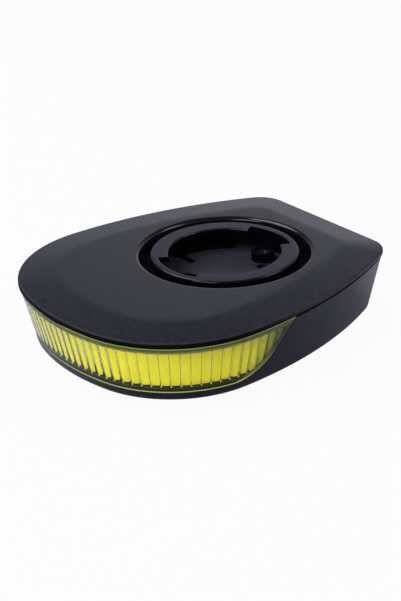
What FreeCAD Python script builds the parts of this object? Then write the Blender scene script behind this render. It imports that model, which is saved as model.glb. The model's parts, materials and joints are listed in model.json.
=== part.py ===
"""Flat bicycle headlight that sits between a bar mount and a bike computer.

The front of the light points along -Y, the rider is at +Y and up is +Z. The origin is on the axis
of the round socket, at the level of the foot's lower face. All sizes are in millimetres.
"""
import FreeCAD, Part
import math
import os
import re
import Sketcher

from FreeCAD import Rotation, Vector

doc = FreeCAD.newDocument("headlight")
sizes = doc.addObject("Spreadsheet::Sheet", "sizes")

# driving sizes, in millimetres and degrees
SIZES = {
    # outline of the body, seen from above
    "body_width": 67,
    "nose_length": 46.5,
    "tail_length": 30.5,
    "nose_radius": 54,
    "shoulder_radius": 27,
    "flank_radius": 100,
    "corner_radius": 7,
    # heights and slopes of the body
    "foot_height": 3.1,
    "body_height": 15.5,
    "cover_height": 2,
    "rim_height": 1,
    "rim_round": 0.35,
    "side_draft": 3.1,
    "tail_draft": 1.6,
    "edge_round": 0.6,
    "shadow_step": 0.2,
    "plateau_inset": 8.5,
    "plateau_tail": 7.2,
    "plateau_corner": 5,
    # walls
    "wall": 1.6,
    "base_wall": 1.6,
    "cover_wall": 1.6,
    "ledge_width": 3.2,
    "ledge_height": 1.2,
    "fit_gap": 0.1,
    # seal between cover and housing, and the skirt that finds the housing
    "seal_inset": 2.1,
    "seal_width": 0.8,
    "seal_height": 0.8,
    "skirt_gap": 0.3,
    "skirt_wall": 1.1,
    "skirt_depth": 1.2,
    # socket for the computer
    "groove_radius": 19.2,
    "groove_depth": 2.4,
    "groove_chamfer": 0.4,
    "ring_radius": 16.7,
    "ring_bore": 12.7,
    "ring_round": 0.3,
    "lip_height": 1.4,
    "chamber_radius": 15.7,
    "notch_radius": 15.1,
    "notch_angle": 54,
    "cup_depth": 5.4,
    "cup_wall": 1.2,
    "socket_flange": 20.9,
    "socket_seal_height": 0.5,
    "socket_seal_width": 1.4,
    "stop_bore": 13.2,
    "stop_height": 1.2,
    "stop_angle": 56,
    "stop_turn": 162,
    "cup_slot_start": 9.2,
    "cup_slot_end": 14.4,
    "cup_slot_side": 1.9,
    "cup_slot_width": 1.6,
    "cup_dimple_x": 2.9,
    "cup_dimple_y": 8.2,
    "cup_dimple_radius": 1.15,
    "cup_pocket_depth": 0.7,
    # screws that hold the socket on its posts
    "post_offset": 11.1,
    "post_radius": 2.4,
    "cup_boss_radius": 2.7,
    "cup_boss_height": 2.1,
    "cup_seat_height": 0.5,
    "post_thread": 4,
    # foot that enters the bar mount
    "foot_radius": 12.4,
    "foot_tab_radius": 15.1,
    "foot_tab_angle": 52,
    "foot_tab_height": 1.6,
    "foot_flange_radius": 18.5,
    "foot_flange_height": 1.5,
    "foot_hollow_radius": 8.5,
    "foot_hollow_depth": 0.8,
    "foot_screw_circle": 15.9,
    "foot_seat_wall": 1.4,
    "foot_seat_margin": 1.2,
    "foot_thread": 2.2,
    "foot_boss_roof": 0.6,
    "foot_sink_depth": 0.85,
    # screws: radius of the shank, of the head and of the driver recess
    "large_shank": 1,
    "large_head": 1.85,
    "large_head_height": 1.25,
    "small_shank": 0.75,
    "small_head": 1.35,
    "small_head_height": 0.9,
    "small_post": 1.9,
    "driver_share": 0.45,
    "thread_gap": 0.05,
    # tubes and bosses that join cover and housing
    "front_tube_x": 22.5,
    "front_tube_y": 17.5,
    "back_tube_x": 18,
    "back_tube_y": 20,
    "tube_radius": 2.6,
    "tube_height": 4.9,
    "counterbore_depth": 2.2,
    "cover_screw_length": 8.5,
    # lens
    "sill_height": 1.9,
    "lens_back": 6.4,
    "lens_slant": 51.3,
    "lens_corner": 13,
    "lens_gap": 0.25,
    "lens_wall": 1.3,
    "lens_flange_height": 0.7,
    "lens_foot_inset": 5.5,
    "lens_rim_width": 1.4,
    "lens_shadow": 0.3,
    "flute_pitch": 2.11,
    "flute_depth": 0.35,
    "lens_gasket_width": 0.9,
    "lens_gasket_end": 22,
    # light source behind the lens
    "strip_inset": 5,
    "phosphor_thickness": 0.6,
    "phosphor_height": 7.9,
    "phosphor_level": 2.85,
    "phosphor_end": 7,
    "led_board_thickness": 0.4,
    "led_board_margin": 0.6,
    "led_board_end": 5.4,
    "carrier_thickness": 1,
    "carrier_end": 8.5,
    "carrier_tab": 5,
    "carrier_tab_level": 4.1,
    "side_tab_angle": 15,
    "tab_thread": 1.9,
    # battery
    "battery_width": 36,
    "battery_length": 15.6,
    "battery_thickness": 8.5,
    "battery_back": 17.8,
    "battery_pad": 1.4,
    "battery_pad_gap": 0.5,
    "battery_pad_inset": 1,
    "battery_round": 1.5,
    "battery_foam_x": 14,
    "battery_foam_front": 32,
    "battery_foam_back": 22,
    "battery_gap": 0.4,
    "battery_rib": 1,
    "battery_rib_height": 4,
    # main board
    "board_level": 6.2,
    "board_thickness": 1,
    "board_width": 43,
    "board_front": 11,
    "board_shoulder": 13.2,
    "board_neck": 29,
    "board_nose": 14.2,
    "board_tail": 25.7,
    "board_port_tail": 27.2,
    "board_screw_x": 18.5,
    "board_screw_front": 8,
    "board_screw_back": 9.5,
    "board_clearance": 0.2,
    "board_thread": 3,
    # charging port and its flap
    "port_x": 8,
    "port_width": 8.94,
    "port_height": 3.26,
    "port_depth": 7.35,
    "port_skin": 0.3,
    "port_shell": 0.3,
    "port_back": 0.8,
    "tongue_base": 1.5,
    "tongue_width": 6.7,
    "tongue_height": 0.7,
    "tongue_recess": 1.2,
    "port_tail_width": 11,
    "flap_width": 13.4,
    "flap_height": 6.4,
    "flap_thickness": 1,
    "flap_gap": 0.2,
    "flap_plug_width": 7,
    "flap_plug_height": 2,
    "flap_plug_depth": 0.6,
    "flap_anchor_width": 6,
    "flap_anchor_height": 1.7,
    "flap_anchor_depth": 1.5,
    "port_frame_margin": 0.9,
    "port_frame_depth": 2.35,
    # power button
    "button_x": 8.5,
    "button_width": 11,
    "button_height": 5.2,
    "button_proud": 0.7,
    "button_gap": 0.25,
    "button_travel": 0.6,
    "button_flange": 0.7,
    "button_flange_depth": 0.8,
    "button_rest_gap": 0.3,
    "button_round": 0.4,
    "stem_width": 3,
    "stem_height": 2,
    "stem_length": 0.5,
    "switch_width": 4.6,
    "switch_depth": 3.2,
    "switch_height": 3,
    "plunger_width": 2.4,
    "plunger_height": 1.4,
    "plunger_spare": 0.15,
    "plunger_root": 0.8,
    "plunger_gap": 0.1,
    # battery level light
    "pipe_x": 0.9,
    "pipe_radius": 0.9,
    "pipe_start": 24.6,
    "status_led_width": 1.6,
    "status_led_depth": 0.9,
    "status_led_height": 2.2,
    # wires and their connectors
    "lead_radius": 0.4,
    "lead_level": 11.3,
    "lead_start": 2.4,
    "lead_start_pitch": 1.8,
    "lead_end": 6.3,
    "lead_end_pitch": 1.6,
    "led_connector_x": 19,
    "led_connector_end": 22.3,
    "led_connector_front": 6,
    "led_connector_back": 1,
    "connector_height": 2,
    "battery_lead_radius": 0.5,
    "battery_lead_x": 5.8,
    "battery_lead_pitch": 2,
    "battery_connector_width": 5.2,
    "battery_connector_front": 13.8,
    "battery_connector_back": 9.8,
}
for row, (name, number) in enumerate(SIZES.items(), start=1):
    sizes.set(f"A{row}", name)
    sizes.set(f"B{row}", f"{number:g}")
    sizes.setAlias(f"B{row}", name)
doc.recompute()

ALIASES = re.compile(r"\b(" + "|".join(sorted(SIZES, key=len, reverse=True)) + r")\b")


def formula(text):
    """An expression on the sheet, written with the bare names of the sizes."""
    return ALIASES.sub(r"sizes.\1", str(text))


def value(text):
    """The number that a formula gives now."""
    result = sizes.evalExpression(formula(text))
    return float(getattr(result, "Value", result))


# levels that many pieces share, counted up from the foot's lower face
BASE = "foot_height"
TOP = "(foot_height + body_height)"
SEAM = "(foot_height + body_height - cover_height)"
FLOOR = "(foot_height + base_wall)"
SILL = "(foot_height + sill_height)"
LID = "(foot_height + body_height - cover_wall)"
LEDGE = f"({SEAM} - ledge_height)"
CUP_FLOOR = f"({TOP} - cup_depth)"
CUP_UNDER = f"({TOP} - cup_depth - cup_wall)"
CUP_BOSS = f"({CUP_FLOOR} + cup_boss_height)"
SOCKET_SEAT = f"({CUP_FLOOR} + cup_seat_height)"
GROOVE_FLOOR = f"({TOP} - groove_depth)"
FOOT_SEAT = "(foot_height + foot_flange_height)"
INNER_FLOOR = "(foot_height + foot_flange_height + foot_seat_wall)"
BOARD_UNDER = "(foot_height + board_level)"
BOARD_TOP = "(foot_height + board_level + board_thickness)"
PORT_LEVEL = f"({BOARD_TOP} + port_height / 2)"
FOOT_THREAD_END = f"({INNER_FLOOR} + foot_thread)"
TUBE_TOP = f"({FLOOR} + tube_height)"
TUBE_SEAT = f"({BASE} + counterbore_depth)"
STRIP_LOW = "(foot_height + phosphor_level)"
STRIP_HIGH = "(foot_height + phosphor_level + phosphor_height)"

# centres of the outline's arcs
NOSE_Y = "(nose_radius - nose_length)"
SHOULDER_X = "(body_width / 2 - shoulder_radius)"
FLANK_X = "(body_width / 2 - flank_radius)"
WIDEST_Y = f"({NOSE_Y} - sqrt((nose_radius - shoulder_radius) ^ 2 - {SHOULDER_X} ^ 2))"

PARTS = []


def finished(label, thing):
    """Names a sub-part and puts it on the list of those that are written out."""
    thing.Label = label
    PARTS.append(thing)
    return thing


def bind(thing, **properties):
    """Ties properties to formulas; a double underscore in a name stands for a dot."""
    for name, text in properties.items():
        thing.setExpression(name.replace("__", "."), formula(text))
    return thing


def place(thing, x="0", y="0", z="0"):
    """Ties the position of a thing to three formulas."""
    return bind(thing, Placement__Base__x=x, Placement__Base__y=y, Placement__Base__z=z)


def span(middle, width):
    """The two ends of a width about its middle."""
    return f"{middle} - ({width}) / 2", f"{middle} + ({width}) / 2"


def box(name, x, y, z):
    """A block between three pairs of formulas, lowest first."""
    solid = doc.addObject("Part::Box", name)
    bind(solid, Length=f"({x[1]}) - ({x[0]})", Width=f"({y[1]}) - ({y[0]})", Height=f"({z[1]}) - ({z[0]})")
    return place(solid, x[0], y[0], z[0])


def cylinder(name, radius, z, x="0", y="0"):
    """An upright cylinder between two levels."""
    solid = doc.addObject("Part::Cylinder", name)
    bind(solid, Radius=radius, Height=f"({z[1]}) - ({z[0]})")
    return place(solid, x, y, z[0])


def cone(name, radii, z, x="0", y="0"):
    """An upright cone between two levels, with its lower and upper radius."""
    solid = doc.addObject("Part::Cone", name)
    bind(solid, Radius1=radii[0], Radius2=radii[1], Height=f"({z[1]}) - ({z[0]})")
    return place(solid, x, y, z[0])


def joined(name, *things):
    """Several solids that touch, as one."""
    result = doc.addObject("Part::MultiFuse", name)
    result.Shapes = list(things)
    return result


def group(name, *things):
    """Separate solids that share one node."""
    result = doc.addObject("Part::Compound", name)
    result.Links = list(things)
    return result


def overlap(name, first, second):
    """What two solids have in common."""
    result = doc.addObject("Part::MultiCommon", name)
    result.Shapes = [first, second]
    return result


def cut(name, base, *tools):
    """A solid less its tools; a tool that takes nothing away is a mistake."""
    result = base
    for number, tool in enumerate(tools, start=1):
        step = doc.addObject("Part::Cut", name if number == len(tools) else f"{name}_step")
        step.Base = result
        step.Tool = tool
        doc.recompute()
        if step.Shape.Volume > step.Base.Shape.Volume - 1e-6:
            raise ValueError(f"{tool.Name} takes nothing away from {name}")
        result = step
    return result


def upright(name, sketch, height):
    """A sketch extruded upwards."""
    solid = doc.addObject("Part::Extrusion", name)
    solid.Base = sketch
    solid.DirMode = "Custom"
    solid.Dir = Vector(0, 0, 1)
    solid.Solid = True
    return bind(solid, LengthFwd=height)


def loft(name, *sections):
    """A solid with straight walls through sketches at several levels."""
    solid = doc.addObject("Part::Loft", name)
    solid.Sections = list(sections)
    solid.Solid = True
    solid.Ruled = True
    return solid


def constrain(sketch, constraint, text=None):
    """Adds a constraint and, if it is a dimension, ties it to a formula."""
    number = sketch.addConstraint(constraint)
    if text is not None:
        sketch.setExpression(f"Constraints[{number}]", formula(text))
    return number


def arc(centre, radius, start, end):
    """An arc of a circle in a sketch's plane, anticlockwise between two angles in radians."""
    circle = Part.Circle(Vector(centre[0], centre[1], 0), Vector(0, 0, 1), radius)
    return Part.ArcOfCircle(circle, start, end)


def line(start, end):
    """A straight line in a sketch's plane."""
    return Part.LineSegment(Vector(start[0], start[1], 0), Vector(end[0], end[1], 0))


def outline(name, level, inset, tail_inset=None, corner=None):
    """The body's outline at one level, moved inwards by an inset.

    Nose, shoulders, flanks and corners are arcs that run into each other, and the tail is straight.
    """
    tail_inset = inset if tail_inset is None else tail_inset
    corner = f"corner_radius - ({inset})" if corner is None else corner
    radii = [f"{part}_radius - ({inset})" for part in ("nose", "shoulder", "flank")] + [corner]
    nose, shoulder, flank, bend = [value(text) for text in radii]
    nose_y, widest_y = value(NOSE_Y), value(WIDEST_Y)
    shoulder_x, flank_x = value(SHOULDER_X), value(FLANK_X)
    tail = value(f"tail_length - ({tail_inset})")
    bend_y = tail - bend
    bend_x = flank_x + math.sqrt((flank - bend) ** 2 - (bend_y - widest_y) ** 2)
    turn = math.atan2(widest_y - nose_y, shoulder_x)
    rise = math.atan2(bend_y - widest_y, bend_x - flank_x)
    sketch = doc.addObject("Sketcher::SketchObject", name)
    sketch.addGeometry([
        arc((0, nose_y), nose, -math.pi - turn, turn),
        arc((shoulder_x, widest_y), shoulder, turn, 0),
        arc((flank_x, widest_y), flank, 0, rise),
        arc((bend_x, bend_y), bend, rise, math.pi / 2),
        line((bend_x, tail), (-bend_x, tail)),
        arc((-bend_x, bend_y), bend, math.pi / 2, math.pi - rise),
        arc((-flank_x, widest_y), flank, math.pi - rise, math.pi),
        arc((-shoulder_x, widest_y), shoulder, math.pi, math.pi - turn),
    ])
    sketch.addConstraint([
        Sketcher.Constraint("Tangent", edge, 2, (edge + 1) % 8, 1) for edge in range(8)
    ])
    for edges, text in (((0,), radii[0]), ((1, 7), radii[1]), ((2, 6), radii[2]), ((3, 5), radii[3])):
        for edge in edges:
            constrain(sketch, Sketcher.Constraint("Radius", edge, value(text)), text)
    constrain(sketch, Sketcher.Constraint("PointOnObject", 0, 3, -2))
    constrain(sketch, Sketcher.Constraint("DistanceY", -1, 1, 0, 3, nose_y), NOSE_Y)
    constrain(sketch, Sketcher.Constraint("DistanceX", -1, 1, 1, 3, shoulder_x), SHOULDER_X)
    constrain(sketch, Sketcher.Constraint("DistanceX", 7, 3, -1, 1, shoulder_x), SHOULDER_X)
    constrain(sketch, Sketcher.Constraint("Horizontal", 1, 3, 2, 3))
    constrain(sketch, Sketcher.Constraint("Horizontal", 7, 3, 6, 3))
    constrain(sketch, Sketcher.Constraint("Horizontal", 4))
    constrain(sketch, Sketcher.Constraint("DistanceY", -1, 1, 4, 1, tail), f"tail_length - ({tail_inset})")
    return bind(sketch, Placement__Base__z=level)


def side_inset(level):
    """How far the drafted side wall lies inside the outline at a level."""
    return f"(shadow_step + side_draft * ({SEAM} - {level}) / ({SEAM} - {BASE}))"


def tail_inset(level):
    """How far the drafted back wall lies inside the outline at a level."""
    return f"(shadow_step + tail_draft * ({SEAM} - {level}) / ({SEAM} - {BASE}))"


def wall_outline(name, level, inwards="0", corner="corner_radius"):
    """The outline of the drafted wall at a level, moved inwards."""
    side, tail = f"{side_inset(level)} + {inwards}", f"{tail_inset(level)} + {inwards}"
    return outline(name, level, side, tail, corner)


def slab(name, inset, z, corner=None):
    """The body's outline with an inset, as a straight solid between two levels."""
    return upright(name, outline(f"{name}_outline", z[0], inset, corner=corner), f"({z[1]}) - ({z[0]})")


def band(name, insets, z, corners=(None, None)):
    """A straight band that follows the outline between two insets."""
    outer = slab(f"{name}_outer", insets[0], z, corners[0])
    inner = slab(f"{name}_inner", insets[1], z, corners[1])
    return cut(name, outer, inner)


def front_part(name, thing, end, z=("-5", "50")):
    """The part of a thing in front of a line across the body."""
    keep = box(f"{name}_keep", ("-body_width", "body_width"), ("-2 * nose_length", f"-({end})"), z)
    return overlap(name, thing, keep)


def screw_up(name, x, y, seat, length, kind="large"):
    """A pan-head screw driven from below: its head lies under the seat."""
    shank, head, height = f"{kind}_shank - thread_gap", f"{kind}_head", f"{kind}_head_height"
    solid = joined(
        f"{name}_blank",
        cylinder(f"{name}_head", head, (f"{seat} - {height}", seat), x, y),
        cylinder(f"{name}_shank", shank, (f"{seat} - {height} / 2", f"{seat} + {length}"), x, y),
    )
    return cut(name, solid, driver(name, x, y, f"{seat} - {height}", kind))


def screw_down(name, x, y, seat, length, kind="large"):
    """A pan-head screw driven from above: its head lies on the seat."""
    shank, head, height = f"{kind}_shank - thread_gap", f"{kind}_head", f"{kind}_head_height"
    solid = joined(
        f"{name}_blank",
        cylinder(f"{name}_head", head, (seat, f"{seat} + {height}"), x, y),
        cylinder(f"{name}_shank", shank, (f"{seat} - ({length})", f"{seat} + {height} / 2"), x, y),
    )
    return cut(name, solid, driver(name, x, y, f"{seat} + {height} / 2", kind))


def driver(name, x, y, low, kind):
    """The six-sided recess for the driver, half as deep as the head."""
    prism = doc.addObject("Part::Prism", f"{name}_driver")
    prism.Polygon = 6
    bind(prism, Circumradius=f"{kind}_head * driver_share", Height=f"{kind}_head_height / 2")
    return place(prism, x, y, low)


def corners_of(x, y):
    """The four places of a rectangle about the origin."""
    return [(f"{right} * ({x})", f"{back} * ({y})") for right in (1, -1) for back in (-1, 1)]


# places of screws and tubes
TUBES = [("front_tube_x", "-front_tube_y"), ("-front_tube_x", "-front_tube_y"),
         ("back_tube_x", "back_tube_y"), ("-back_tube_x", "back_tube_y")]
POSTS = [("0", "-post_offset"), ("0", "post_offset")]
FOOT_SCREWS = corners_of("foot_screw_circle / sqrt(2)", "foot_screw_circle / sqrt(2)")
BOARD_SCREWS = [(x, y) for x in ("board_screw_x", "-board_screw_x")
                for y in ("-board_screw_front", "board_screw_back")]
STRIP_BACK = "(strip_inset + phosphor_thickness)"
CARRIER_FACE = "(strip_inset + phosphor_thickness + led_board_thickness)"
TAB_REACH = f"(shoulder_radius - {CARRIER_FACE} - carrier_thickness)"
TAB_CENTRE = f"({TAB_REACH} - carrier_tab / 2)"
CARRIER_TABS = [
    ("0", f"-(nose_length - shoulder_radius + {TAB_REACH} - carrier_tab / 2)", "0"),
    (f"({SHOULDER_X} + {TAB_CENTRE} * cos(side_tab_angle))",
     f"({WIDEST_Y} - {TAB_CENTRE} * sin(side_tab_angle))", "90 - side_tab_angle"),
    (f"-({SHOULDER_X} + {TAB_CENTRE} * cos(side_tab_angle))",
     f"({WIDEST_Y} - {TAB_CENTRE} * sin(side_tab_angle))", "side_tab_angle - 90"),
]
TAB_LOW = "(foot_height + carrier_tab_level)"
TAB_HIGH = "(foot_height + carrier_tab_level + carrier_thickness)"


def lens_region(name, gap, lift):
    """The side profile of the lens, drawn across the body: a slanted end that curves into the sill."""
    margin = 1.0
    slant = math.radians(value("lens_slant"))
    sill = value(f"{SILL} + {lift}")
    top = value(f"{SEAM}") + margin
    start = value(f"-lens_back - {gap} / sin(lens_slant) + {margin} / tan(lens_slant)")
    radius = value(f"lens_corner - {gap}")
    front = -value("nose_length * 1.2")
    corner = start - (top - sill) / math.tan(slant)
    reach = radius * math.tan(slant / 2)
    high = (corner + reach * math.cos(slant), sill + reach * math.sin(slant))
    low = (corner - reach, sill)
    sketch = doc.addObject("Sketcher::SketchObject", name)
    sketch.addGeometry([
        line((start, top), high),
        arc((low[0], sill + radius), radius, -math.pi / 2, -math.pi / 2 + slant),
        line(low, (front, sill)),
        line((front, sill), (front, top)),
        line((front, top), (start, top)),
    ])
    sketch.addConstraint([
        Sketcher.Constraint("Tangent", 0, 2, 1, 2),
        Sketcher.Constraint("Tangent", 1, 1, 2, 1),
        Sketcher.Constraint("Coincident", 2, 2, 3, 1),
        Sketcher.Constraint("Coincident", 3, 2, 4, 1),
        Sketcher.Constraint("Coincident", 4, 2, 0, 1),
        Sketcher.Constraint("Vertical", 3),
        Sketcher.Constraint("Horizontal", 4),
        Sketcher.Constraint("Horizontal", 2),
    ])
    constrain(sketch, Sketcher.Constraint("Radius", 1, radius), f"lens_corner - {gap}")
    constrain(sketch, Sketcher.Constraint("Angle", 4, 2, 0, 1, slant), "lens_slant * 1 deg")
    constrain(sketch, Sketcher.Constraint("DistanceY", -1, 1, 2, 1, sill), f"{SILL} + {lift}")
    constrain(sketch, Sketcher.Constraint("DistanceY", -1, 1, 0, 1, top), f"{SEAM} + {margin}")
    constrain(sketch, Sketcher.Constraint("DistanceX", 0, 1, -1, 1, -start),
              f"lens_back + {gap} / sin(lens_slant * 1 deg) - {margin} / tan(lens_slant * 1 deg)")
    constrain(sketch, Sketcher.Constraint("DistanceX", 3, 1, -1, 1, -front), "nose_length * 1.2")
    # the sketch's X and Y lie along the body's Y and Z
    sketch.Placement.Rotation = Rotation(Vector(1, 1, 1), 120)
    solid = doc.addObject("Part::Extrusion", f"{name}_block")
    solid.Base = sketch
    solid.DirMode = "Custom"
    solid.Dir = Vector(1, 0, 0)
    solid.Solid = True
    solid.Symmetric = True
    return bind(solid, LengthFwd="2 * body_width")


def turned(name, points):
    """A piece turned on a lathe about the upright axis, from the corners of half its section."""
    body = doc.addObject("PartDesign::Body", name)
    sketch = body.newObject("Sketcher::SketchObject", f"{name}_section")
    sketch.AttachmentSupport = [(origin_plane(body, "XZ_Plane"), "")]
    sketch.MapMode = "FlatFace"
    polygon(sketch, points)
    turn = body.newObject("PartDesign::Revolution", f"{name}_turn")
    turn.Profile = sketch
    turn.ReferenceAxis = (sketch, ["V_Axis"])
    turn.Angle = 360
    doc.recompute()
    return body


def origin_plane(body, role):
    """One of the three planes through a body's own origin."""
    return next(plane for plane in body.Origin.OriginFeatures if plane.Role == role)


def polygon(sketch, points):
    """A closed outline of straight lines; each corner is tied to its two formulas."""
    corners = [(value(x), value(y)) for x, y in points]
    count = len(corners)
    sketch.addGeometry([line(corners[i], corners[(i + 1) % count]) for i in range(count)])
    sketch.addConstraint([
        Sketcher.Constraint("Coincident", i, 2, (i + 1) % count, 1) for i in range(count)
    ])
    for i, (x, y) in enumerate(points):
        if x == "0":
            constrain(sketch, Sketcher.Constraint("PointOnObject", i, 1, -2))
        else:
            constrain(sketch, Sketcher.Constraint("DistanceX", -1, 1, i, 1, corners[i][0]), x)
        constrain(sketch, Sketcher.Constraint("DistanceY", -1, 1, i, 1, corners[i][1]), y)


def wedge(name, radius, z, centre, width):
    """A slice of an upright cylinder, with the angle of its middle and its width in degrees."""
    solid = doc.addObject("Part::Cylinder", name)
    bind(solid, Radius=radius, Height=f"({z[1]}) - ({z[0]})", Angle=width)
    bind(solid, Placement__Rotation__Angle=f"({centre}) - ({width}) / 2")
    return place(solid, z=z[0])


def along_y(name, radius, y, x, z):
    """A cylinder that points to the rider, between two distances from the socket's axis."""
    solid = doc.addObject("Part::Cylinder", name)
    bind(solid, Radius=radius, Height=f"({y[1]}) - ({y[0]})")
    solid.Placement.Rotation = Rotation(Vector(1, 0, 0), -90)
    return place(solid, x, y[0], z)


def rounded_bar(name, width, height, y, x, z):
    """A bar with half-round ends that points to the rider, centred on a place in the back wall."""
    straight = span(x, f"({width}) - ({height})")
    middle = box(f"{name}_middle", straight, y, span(z, height))
    ends = [along_y(f"{name}_end", f"({height}) / 2", y, end, z) for end in straight]
    return joined(name, middle, *ends)


def ring(name, radii, z):
    """A flat ring between two radii and two levels, smaller radius first."""
    points = [(radii[0], z[0]), (radii[1], z[0]), (radii[1], z[1]), (radii[0], z[1])]
    return turned(name, points)


def make_top_cover():
    """The cover: flat plateau, sloping band, thin rim, skirt, seal groove and four screw bosses."""
    blank = loft(
        "cover_blank",
        outline("cover_edge", SEAM, "0"),
        outline("cover_rim", f"{SEAM} + rim_height - rim_round", "0"),
        outline("cover_turn", f"{SEAM} + rim_height", "rim_round"),
        outline("cover_plateau", TOP, "plateau_inset", "plateau_tail", "plateau_corner"),
    )
    skirt_inset = "ledge_width + skirt_gap"
    skirt = slab("cover_skirt", skirt_inset, (f"{SEAM} - skirt_depth", f"{SEAM} + rim_height / 2"))
    pocket = slab("cover_pocket", f"{skirt_inset} + skirt_wall", (f"{SEAM} - 2 * skirt_depth", LID))
    shell = cut("cover_shell", joined("cover_full", blank, skirt), pocket)
    bosses = [
        cylinder("cover_boss", "tube_radius - fit_gap", (f"{TUBE_TOP} + fit_gap", f"{LID} + fit_gap"), x, y)
        for x, y in TUBES
    ]
    bore_end = f"{TUBE_SEAT} + cover_screw_length + fit_gap"
    bores = [cylinder("cover_bore", "large_shank", (FLOOR, bore_end), x, y) for x, y in TUBES]
    groove = band("cover_seal_groove", ("seal_inset - fit_gap", "seal_inset + seal_width + fit_gap"),
                  (f"{SEAM} - fit_gap", f"{SEAM} + seal_height"))
    hole = cylinder("cover_hole", "groove_radius", (FLOOR, f"{TOP} + 1"))
    bevel = cone("cover_bevel", ("groove_radius", "groove_radius + 2 * groove_chamfer"),
                 (f"{TOP} - groove_chamfer", f"{TOP} + groove_chamfer"))
    return cut("top_cover", joined("cover_with_bosses", shell, *bosses), *bores, groove, hole, bevel)


def make_computer_socket():
    """The socket: ring with two notches under which the computer's tabs turn, groove, flange and cup."""
    flange_top = f"{LID} - socket_seal_height"
    body = turned("socket_blank", [
        ("0", CUP_UNDER), ("ring_radius", CUP_UNDER),
        ("ring_radius", f"{GROOVE_FLOOR} - cup_wall"), ("socket_flange", f"{GROOVE_FLOOR} - cup_wall"),
        ("socket_flange", flange_top), ("groove_radius", flange_top),
        ("groove_radius", GROOVE_FLOOR), ("ring_radius", GROOVE_FLOOR),
        ("ring_radius", f"{TOP} - ring_round"), ("ring_radius - ring_round", TOP),
        ("ring_bore + ring_round", TOP), ("ring_bore", f"{TOP} - ring_round"),
        ("ring_bore", f"{TOP} - lip_height"), ("chamber_radius", f"{TOP} - lip_height"),
        ("chamber_radius", CUP_FLOOR), ("0", CUP_FLOOR),
    ])
    bosses = [
        cylinder("cup_boss", "cup_boss_radius", (f"{CUP_FLOOR} - fit_gap", CUP_BOSS), x, y) for x, y in POSTS
    ]
    stops = []
    for turn in ("stop_turn", "stop_turn - 180"):
        block = wedge("cup_stop_block", "chamber_radius + fit_gap",
                      (f"{CUP_FLOOR} - fit_gap", f"{CUP_FLOOR} + stop_height"), turn, "stop_angle")
        inside = cylinder("cup_stop_inside", "stop_bore", (CUP_UNDER, f"{CUP_FLOOR} + 2 * stop_height"))
        stops.append(cut("cup_stop", block, inside))
    notches = [
        wedge("notch", "notch_radius", (f"{TOP} - lip_height - fit_gap", f"{TOP} + 1"), turn, "notch_angle")
        for turn in ("-90", "90")
    ]
    seats = [
        cylinder("cup_seat", "large_head + fit_gap", (SOCKET_SEAT, TOP), x, y) for x, y in POSTS
    ]
    holes = [cylinder("cup_hole", "large_shank + fit_gap", (FLOOR, TOP), x, y) for x, y in POSTS]
    low, high = f"{CUP_FLOOR} - cup_pocket_depth", f"{CUP_FLOOR} + fit_gap"
    slots = [
        box("cup_slot", ("-cup_slot_end", "-cup_slot_start"), span("-cup_slot_side", "cup_slot_width"),
            (low, high)),
        box("cup_slot", ("cup_slot_start", "cup_slot_end"), span("cup_slot_side", "cup_slot_width"),
            (low, high)),
    ]
    dimples = [
        cylinder("cup_dimple", "cup_dimple_radius", (low, high), f"{sign}cup_dimple_x", f"{sign}cup_dimple_y")
        for sign in ("", "-")
    ]
    blank = joined("socket_full", body, *bosses, *stops)
    return cut("computer_socket", blank, *notches, *seats, *holes, *slots, *dimples)


def make_outer():
    """The full outside of the housing: drafted walls with a turned lower edge."""
    low = f"({BASE} + edge_round)"
    return loft(
        "housing_outer",
        wall_outline("housing_sole", BASE, f"{side_inset(low)} - {side_inset(BASE)} + edge_round"),
        wall_outline("housing_turn", low),
        wall_outline("housing_brim", SEAM),
    )


def make_housing(outer):
    """The lower housing: drafted walls, ledge, opening for the lens, posts, tubes and back openings."""
    cavity = loft(
        "housing_cavity",
        wall_outline("housing_cavity_low", FLOOR, "wall", "corner_radius - wall"),
        wall_outline("housing_cavity_high", LEDGE, "wall", "corner_radius - wall"),
    )
    mouth = slab("housing_mouth", "ledge_width", (f"{LEDGE} - fit_gap", f"{SEAM} + 1"))
    shadow = band("housing_shadow", ("-1", "edge_round"), (f"{SEAM} - shadow_step", f"{SEAM} + 1"))
    shell = cut("housing_shell", outer, cavity, mouth, shadow, lens_region("housing_window", "0", "0"))
    seat = cylinder("foot_seat", "foot_flange_radius + foot_seat_margin", (BASE, INNER_FLOOR))
    posts = [cylinder("socket_post", "post_radius", (BASE, CUP_UNDER), x, y) for x, y in POSTS]
    foot_bosses = [
        cylinder("foot_boss", "post_radius", (BASE, f"{FOOT_THREAD_END} + foot_boss_roof"), x, y)
        for x, y in FOOT_SCREWS
    ]
    tubes = [cylinder("cover_tube", "tube_radius", (BASE, TUBE_TOP), x, y) for x, y in TUBES]
    standoffs = [cylinder("board_post", "small_post", (BASE, BOARD_UNDER), x, y) for x, y in BOARD_SCREWS]
    tab_posts = [cylinder("tab_post", "small_post", (BASE, TAB_LOW), x, y) for x, y, turn in CARRIER_TABS]
    solid = joined("housing_solid", shell, seat, *posts, *foot_bosses, *tubes, *standoffs, *tab_posts,
                   *battery_ribs(), port_frame())
    return cut("lower_housing", solid, *housing_holes(), *back_openings())


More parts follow.
